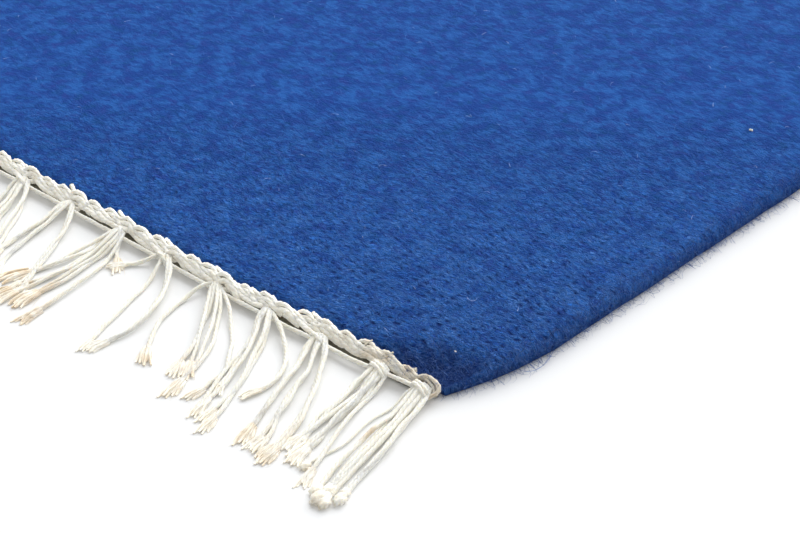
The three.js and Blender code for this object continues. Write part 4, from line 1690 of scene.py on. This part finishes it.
@dataclass
class Tufts:
    """The cut ends of the tassel cords: lumpy buds, and blunt brushes of soft plies."""

    seed: int = 31
    buds: int = 4
    brushes: int = 6
    plies: int = 11
    fibres: int = 6
    bud: tuple = (1.9, 1.5, 1.0)

    def ply(self, draw: np.random.Generator, across: float, fine: bool) -> tuple[np.ndarray, np.ndarray]:
        """One ply's or fibre's middle line and half widths, in millimetres, pointing along X."""
        length = draw.uniform(4.5, 7.0) if fine else draw.uniform(3.4, 6.0)
        share = np.linspace(0, 1, 5)
        heading = 0.12 * across + draw.normal(0, 0.25 if fine else 0.08) * (0.2 + share)
        heading = heading + draw.normal(0, 0.10) * np.sin(5 * share)
        x = -2.4 + np.cumsum(np.cos(heading) * length / 4) - length / 4
        y = 0.5 * across + np.cumsum(np.sin(heading) * length / 4)
        z = draw.uniform(-0.30, 0.32) * (1 - 0.4 * share) + 0.12 * np.sin(share * 3) - 0.30 * share ** 3
        half = 0.03 if fine else draw.uniform(0.27, 0.36)
        return np.stack([x, y, z], 1), half * (1 + 0.12 * share) * np.array([1, 1, 1, 1.0, 0.6])

    def brush(self, draw: np.random.Generator) -> tuple[np.ndarray, list]:
        """A blunt brush of soft plies with a few fine fibres, in millimetres."""
        points, faces, base = [], [], 0
        for strand in range(self.plies + self.fibres):
            fine = strand >= self.plies
            across = draw.uniform(-1.2, 1.2) if fine else 2 * (strand + 0.5) / self.plies - 1
            line, half = self.ply(draw, across, fine)
            rings = 2 if fine else 5
            for ring in range(rings):
                angle = ring / rings * FULL_TURN
                side = np.array([0, math.cos(angle), math.sin(angle)])
                points.append(line + side * half[:, None])
            for ring in range(1 if fine else rings):
                a, b = base + ring * 5, base + (ring + 1) % rings * 5
                faces += [(a + k, a + k + 1, b + k + 1, b + k) for k in range(4)]
            if not fine:
                faces.append(tuple(base + ring * 5 + 4 for ring in range(rings)))
            base += rings * 5
        return np.concatenate(points), faces

    def lump(self, draw: np.random.Generator) -> tuple[np.ndarray, list]:
        """A lumpy soft bud, in millimetres."""
        around, rows = 16, 10
        turn, climb = np.meshgrid(np.arange(around) / around * FULL_TURN, np.linspace(-1.4, 1.4, rows))
        phases = draw.uniform(0, 6, 3)
        swell = 1 + 0.24 * np.sin(2 * turn + 4 * climb + phases[0]) * np.sin(4 * climb + phases[1])
        swell += 0.13 * np.sin(4 * turn - 5 * climb + phases[2])
        size = np.array(self.bud) * draw.uniform(0.8, 1.15)
        girth = np.cos(climb) * swell
        points = np.stack([0.3 + size[0] * np.sin(climb) * swell, size[1] * girth * np.cos(turn),
                           size[2] * girth * np.sin(turn) + 0.1], -1).reshape(-1, 3)
        faces = []
        for low in range(0, (rows - 1) * around, around):
            for k in range(around):
                after = (k + 1) % around
                faces.append((low + k, low + after, low + around + after, low + around + k))
        faces += [tuple(range(around))[::-1], tuple(range((rows - 1) * around, rows * around))]
        return points, faces

    def build_variants(self) -> Collection:
        """A few cut ends in a collection of their own, the buds first."""
        draw = np.random.default_rng(self.seed)
        home = bpy.data.collections.new("tuft_variants")
        for number in range(self.buds + self.brushes):
            points, faces = self.lump(draw) if number < self.buds else self.brush(draw)
            tuft = mesh_object(f"tuft_{number:02d}", points * MM, (), faces)
            set_attribute(tuft, "cord_map", "FLOAT_VECTOR", points * MM)
            tuft.data.shade_smooth()
            taken_out(tuft, home)
        return home

    def tree(self) -> NodeTree:
        """The tree that sets a frayed end on each cord's tip, pointing as the cord does."""
        tree, source, result = new_geometry_tree("tuft_tree", {
            "Tufts": "NodeSocketCollection",
            "Finish": "NodeSocketMaterial",
        })
        turned = add_node(tree, "FunctionNodeAlignRotationToVector", {"axis": "X"},
                          {"Vector": named_value(tree, "aim", "FLOAT_VECTOR")})
        soiled = sums(tree, "MULTIPLY_ADD", named_value(tree, "soil"), 0.4, 0.9)
        size = sums(tree, "MULTIPLY", random_value(tree, 0.85, 1.15, 8), soiled)
        tufts = strewn(tree, source.outputs[0], source.outputs["Tufts"], turned.outputs[0], size,
                       named_value(tree, "pick"))
        tree.links.new(finished(tree, tufts, source.outputs["Finish"]), result.inputs[0])
        return tree

    def build(self, fringe: Fringe, material: Material) -> Object:
        """Frays every tip of a fringe.

        Args:
            fringe: The fringe, already built.
            material: The cotton's material.

        Returns:
            The frayed ends as one mesh.
        """
        home = self.build_variants()
        draw = np.random.default_rng(self.seed + 1)
        spots = np.array([tip for tip, _, _, _ in fringe.tips])
        aims = np.array([[way[0], way[1], 0] for _, way, _, _ in fringe.tips])
        picks = [draw.integers(0, self.buds) if lumpy else self.buds + draw.integers(0, self.brushes)
                 for _, _, _, lumpy in fringe.tips]
        guide = mesh_object("tuft_guide", spots)
        set_attribute(guide, "aim", "FLOAT_VECTOR", aims / np.linalg.norm(aims, axis=1)[:, None])
        set_attribute(guide, "soil", "FLOAT", np.array([0.25 + 0.8 * soil for _, _, soil, _ in fringe.tips]))
        set_attribute(guide, "pick", "FLOAT", np.array(picks))
        made = grown(guide, self.tree(), {"Tufts": home, "Finish": material},
                     f"fringe_tufts_{fringe.end.label}")
        clear_collection(home)
        return turned_for(made, fringe.end)


# ------------------------------------------------------------------ studio


@dataclass
class Studio:
    """Plain floor, soft light and the camera."""

    corner: Vector
    lens_mm: float = 87.75
    sensor_mm: float = 36.0
    azimuth_deg: float = 42.902
    elevation_deg: float = 31.864
    eye_from_corner: tuple = (0.23305, -0.27197, 0.26034)
    bright_way: tuple = (-0.24, 0.88, 0.41)
    bright_sky: float = 4.5
    bright_spread: float = 5.0
    dim_sky: float = 0.47
    sky_colour: tuple = (0.97, 0.985, 1.0, 1)
    floor_half: float = 6.0
    floor_glow: float = 0.05
    lamp_place: tuple = (-0.65, 0.95, 2.0)
    lamp_aim: tuple = (0.1, -0.3, 0)
    lamp_size: float = 2.1
    lamp_power: float = 8

    def floor(self) -> Object:
        """A wide pale floor, which is white to the camera away from shadows."""
        corners = np.array([(-1, -1, 0), (1, -1, 0), (1, 1, 0), (-1, 1, 0)]) * self.floor_half
        floor = mesh_object("studio_floor", corners, (), [(0, 1, 2, 3)])
        material, tree, output = new_shader("studio_floor")
        matt = add_node(tree, "ShaderNodeBsdfDiffuse", {}, {"Color": (0.93, 0.93, 0.93, 1)})
        glow = add_node(tree, "ShaderNodeEmission", {}, {"Color": (1, 1, 1, 1), "Strength": self.floor_glow})
        ray = add_node(tree, "ShaderNodeLightPath")
        seen = add_node(tree, "ShaderNodeMixShader", {},
                        {0: ray.outputs["Is Camera Ray"], 2: glow.outputs[0]})
        both = add_node(tree, "ShaderNodeAddShader", {}, {0: matt.outputs[0], 1: seen.outputs[0]})
        tree.links.new(both.outputs[0], output.inputs[0])
        floor.data.materials.append(material)
        return floor

    def sky(self) -> World:
        """A sky that is bright above and behind the rug and dim in front of it."""
        world = bpy.data.worlds.new("studio_sky")
        world.use_nodes = True
        tree = world.node_tree
        way = add_node(tree, "ShaderNodeTexCoord")
        facing = add_node(tree, "ShaderNodeVectorMath", {"operation": "DOT_PRODUCT"},
                          {0: way.outputs["Generated"], 1: self.bright_way})
        rise = sums(tree, "POWER", sums(tree, "MAXIMUM", facing.outputs["Value"], 0.0), self.bright_spread)
        strength = sums(tree, "MULTIPLY_ADD", rise, self.bright_sky, self.dim_sky)
        background = tree.nodes["Background"]
        background.inputs["Color"].default_value = self.sky_colour
        tree.links.new(strength, background.inputs["Strength"])
        return world

    def light(self) -> None:
        """A wide soft lamp behind the rug, and the sky."""
        bpy.context.scene.world = self.sky()
        lamp = bpy.data.lights.new("studio_softbox", "AREA")
        lamp.shape = "DISK"
        lamp.size = self.lamp_size
        lamp.energy = self.lamp_power
        lamp.color = (1.0, 0.985, 0.96)
        holder = bpy.data.objects.new("studio_softbox", lamp)
        holder.location = self.lamp_place
        holder.rotation_euler = (Vector(self.lamp_aim) - holder.location).to_track_quat("-Z", "Y").to_euler()
        bpy.context.scene.collection.objects.link(holder)

    def camera(self) -> Object:
        """The camera, low over one corner."""
        data = bpy.data.cameras.new("studio_camera")
        data.lens = self.lens_mm
        data.sensor_width = self.sensor_mm
        data.clip_start = 0.01
        camera = bpy.data.objects.new("studio_camera", data)
        camera.location = self.corner + Vector(self.eye_from_corner)
        camera.rotation_euler = (math.radians(90 - self.elevation_deg), 0, math.radians(self.azimuth_deg))
        bpy.context.scene.collection.objects.link(camera)
        bpy.context.scene.camera = camera
        return camera


# ------------------------------------------------------------------ assembly


WOOL_HAIR = HairFinish("wool_hair", colour=(0.03, 0.11, 0.42, 1), pale=(0.10, 0.24, 0.66, 1))
SHADED_HAIR = HairFinish("shaded_hair", colour=(0.022, 0.060, 0.22, 1), pale=(0.12, 0.22, 0.52, 1))
PALE_WOOL = HairFinish("pale_wool", colour=(0.14, 0.28, 0.70, 1), pale=(0.40, 0.52, 0.85, 1))


def settle(piece: Object, slot: str, *nodes: str) -> Object:
    """Puts a finished piece on the rug.

    Args:
        piece: The piece.
        slot: The record's material slot; not used.
        *nodes: The nodes that it stands for.

    Returns:
        The piece.
    """
    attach(piece, "root")
    if nodes:
        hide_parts(*nodes)
    piece.data.calc_loop_triangles()
    LOG.info("%s: %d triangles", piece.name, len(piece.data.loop_triangles))
    return piece


def dress_ends(form: ClothForm, frayed: Material) -> list[Object]:
    """Makes the fringe, the cut cord ends and the plait of each end.

    Args:
        form: The cloth's form.
        frayed: The material of cut cord ends.

    Returns:
        The pieces.
    """
    # Each cotton's glow is painted light, an emission standing in for the overhead light; its crevice colour
    # is painted shade.
    cotton = CottonFinish("cotton_fringe").make()
    plaited = CottonFinish("cotton_plait", clean=(0.90, 0.875, 0.80, 1), shaded=(0.64, 0.58, 0.45, 1),
                           depth_mm=0.3, ply_height=0.5, ply_shade=0.25, glow=0.35, grime=0.8,
                           crevice_share=1.0).make()
    # The underside cotton is near black: painted shadow for the strand in the slit under the plait.
    underside = CottonFinish("cotton_underside", clean=(0.17, 0.16, 0.12, 1), shaded=(0.11, 0.10, 0.07, 1),
                             glow=0.0).make()
    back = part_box("fringe_back")[0].y
    pieces = []
    for end, order, seed in ((End.FRONT, 1, 41), (End.BACK, 3, 42)):
        fringe = Fringe(form, end, back=back, order=order, seed=seed)
        pieces.append(settle(fringe.build(cotton), "cotton_fringe", f"fringe_{end.label}"))
        pieces.append(settle(Tufts().build(fringe, frayed), "cotton_fringe"))
        braid = EndBraid(form, end, fringe.knots).build(plaited, underside)
        pieces.append(settle(braid, "end_braid", f"end_braid_{end.label}"))
    return pieces


def strew_fuzz(cloth: Object) -> list[Object]:
    """Strews the wool's own hairs, the curly hairs of its rim, and pale specks of wool.

    Args:
        cloth: The cloth.

    Returns:
        The pieces.
    """
    lying = HairKind("lying_hair", lengths=(1.8, 5.0), rises=(0.2, 0.7), bends=(0.4, 2.0), width=0.085,
                     segments=2)
    curly = HairKind("curly_hair", lengths=(1.4, 4.2), rises=(0.6, 2.6), bends=(0.7, 2.8), width=0.075,
                     seed=12)
    speck = HairKind("pale_nep", lengths=(0.7, 1.8), rises=(0.2, 0.5), bends=(0.1, 0.7), width=0.17, seed=13)
    sorts = (("wool_fuzz", Fuzz(56000, 0.0, 51), lying, WOOL_HAIR),
             ("rim_fuzz", Fuzz(0, 2500000, 52, spread=1.6), curly, SHADED_HAIR),
             ("pale_neps", Fuzz(2500, 0.0, 53, spread=1.4), speck, PALE_WOOL))
    return [settle(fuzz.build(cloth, hairs, finish, name), "wool_field")
            for name, fuzz, hairs, finish in sorts]


def lay_strays(frayed: Material) -> list[Object]:
    """Lays the loose hairs, the pale hair and the crumbs of cotton.

    Args:
        frayed: The material of cut cord ends, for the crumbs.

    Returns:
        The pieces.
    """
    loose = [CordRun.plain(np.array(route) * MM, 0.055 * MM) for route in LOOSE_HAIRS]
    pale = [CordRun.plain(np.array(PALE_HAIR) * MM, 0.10 * MM)]
    crumbs = []
    for x, y, z, size in CRUMBS:
        route = np.array([(x - size, y, z), (x, y + 0.3 * size, z + 0.2 * size), (x + 0.8 * size, y, z)])
        crumbs.append(CordRun(route * MM, np.array([0.4, 0.6, 0.3]) * size * MM, np.zeros(3)))
    fine = 0.3 * MM
    return [
        settle(CordMaker(sides=4).build(loose, WOOL_HAIR.make(), "loose_hairs"), "wool_field"),
        settle(CordMaker(step=fine, sides=4).build(pale, PALE_WOOL.make(), "pale_hair"), "wool_field"),
        settle(CordMaker(step=fine, sides=6).build(crumbs, frayed, "cotton_crumbs"), "cotton_fringe"),
    ]


def main() -> None:
    """Builds the rug and its studio."""
    logging.basicConfig(level=logging.INFO, format="%(name)s: %(message)s")
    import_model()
    bpy.context.scene.view_settings.view_transform = "Standard"
    low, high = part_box("rug_field")
    form = ClothForm(half_width=high.x, half_length=high.y, thick=high.z)
    studio = Studio(corner=Vector((high.x, low.y, 0)))
    studio.camera()

    # The frayed ends' glow is painted light as well.
    frayed = CottonFinish("cotton_frayed", clean=(0.89, 0.865, 0.78, 1), relief_mm=0.35, glow=0.34,
                          crevice_share=0.15, frayed=True).make()
    extras = dress_ends(form, frayed)
    cloth = settle(RugField(form).build(), "wool_field", "rug_field")
    extras += strew_fuzz(cloth) + lay_strays(frayed)

    studio.floor()
    studio.light()


if __name__ == "__main__":
    main()
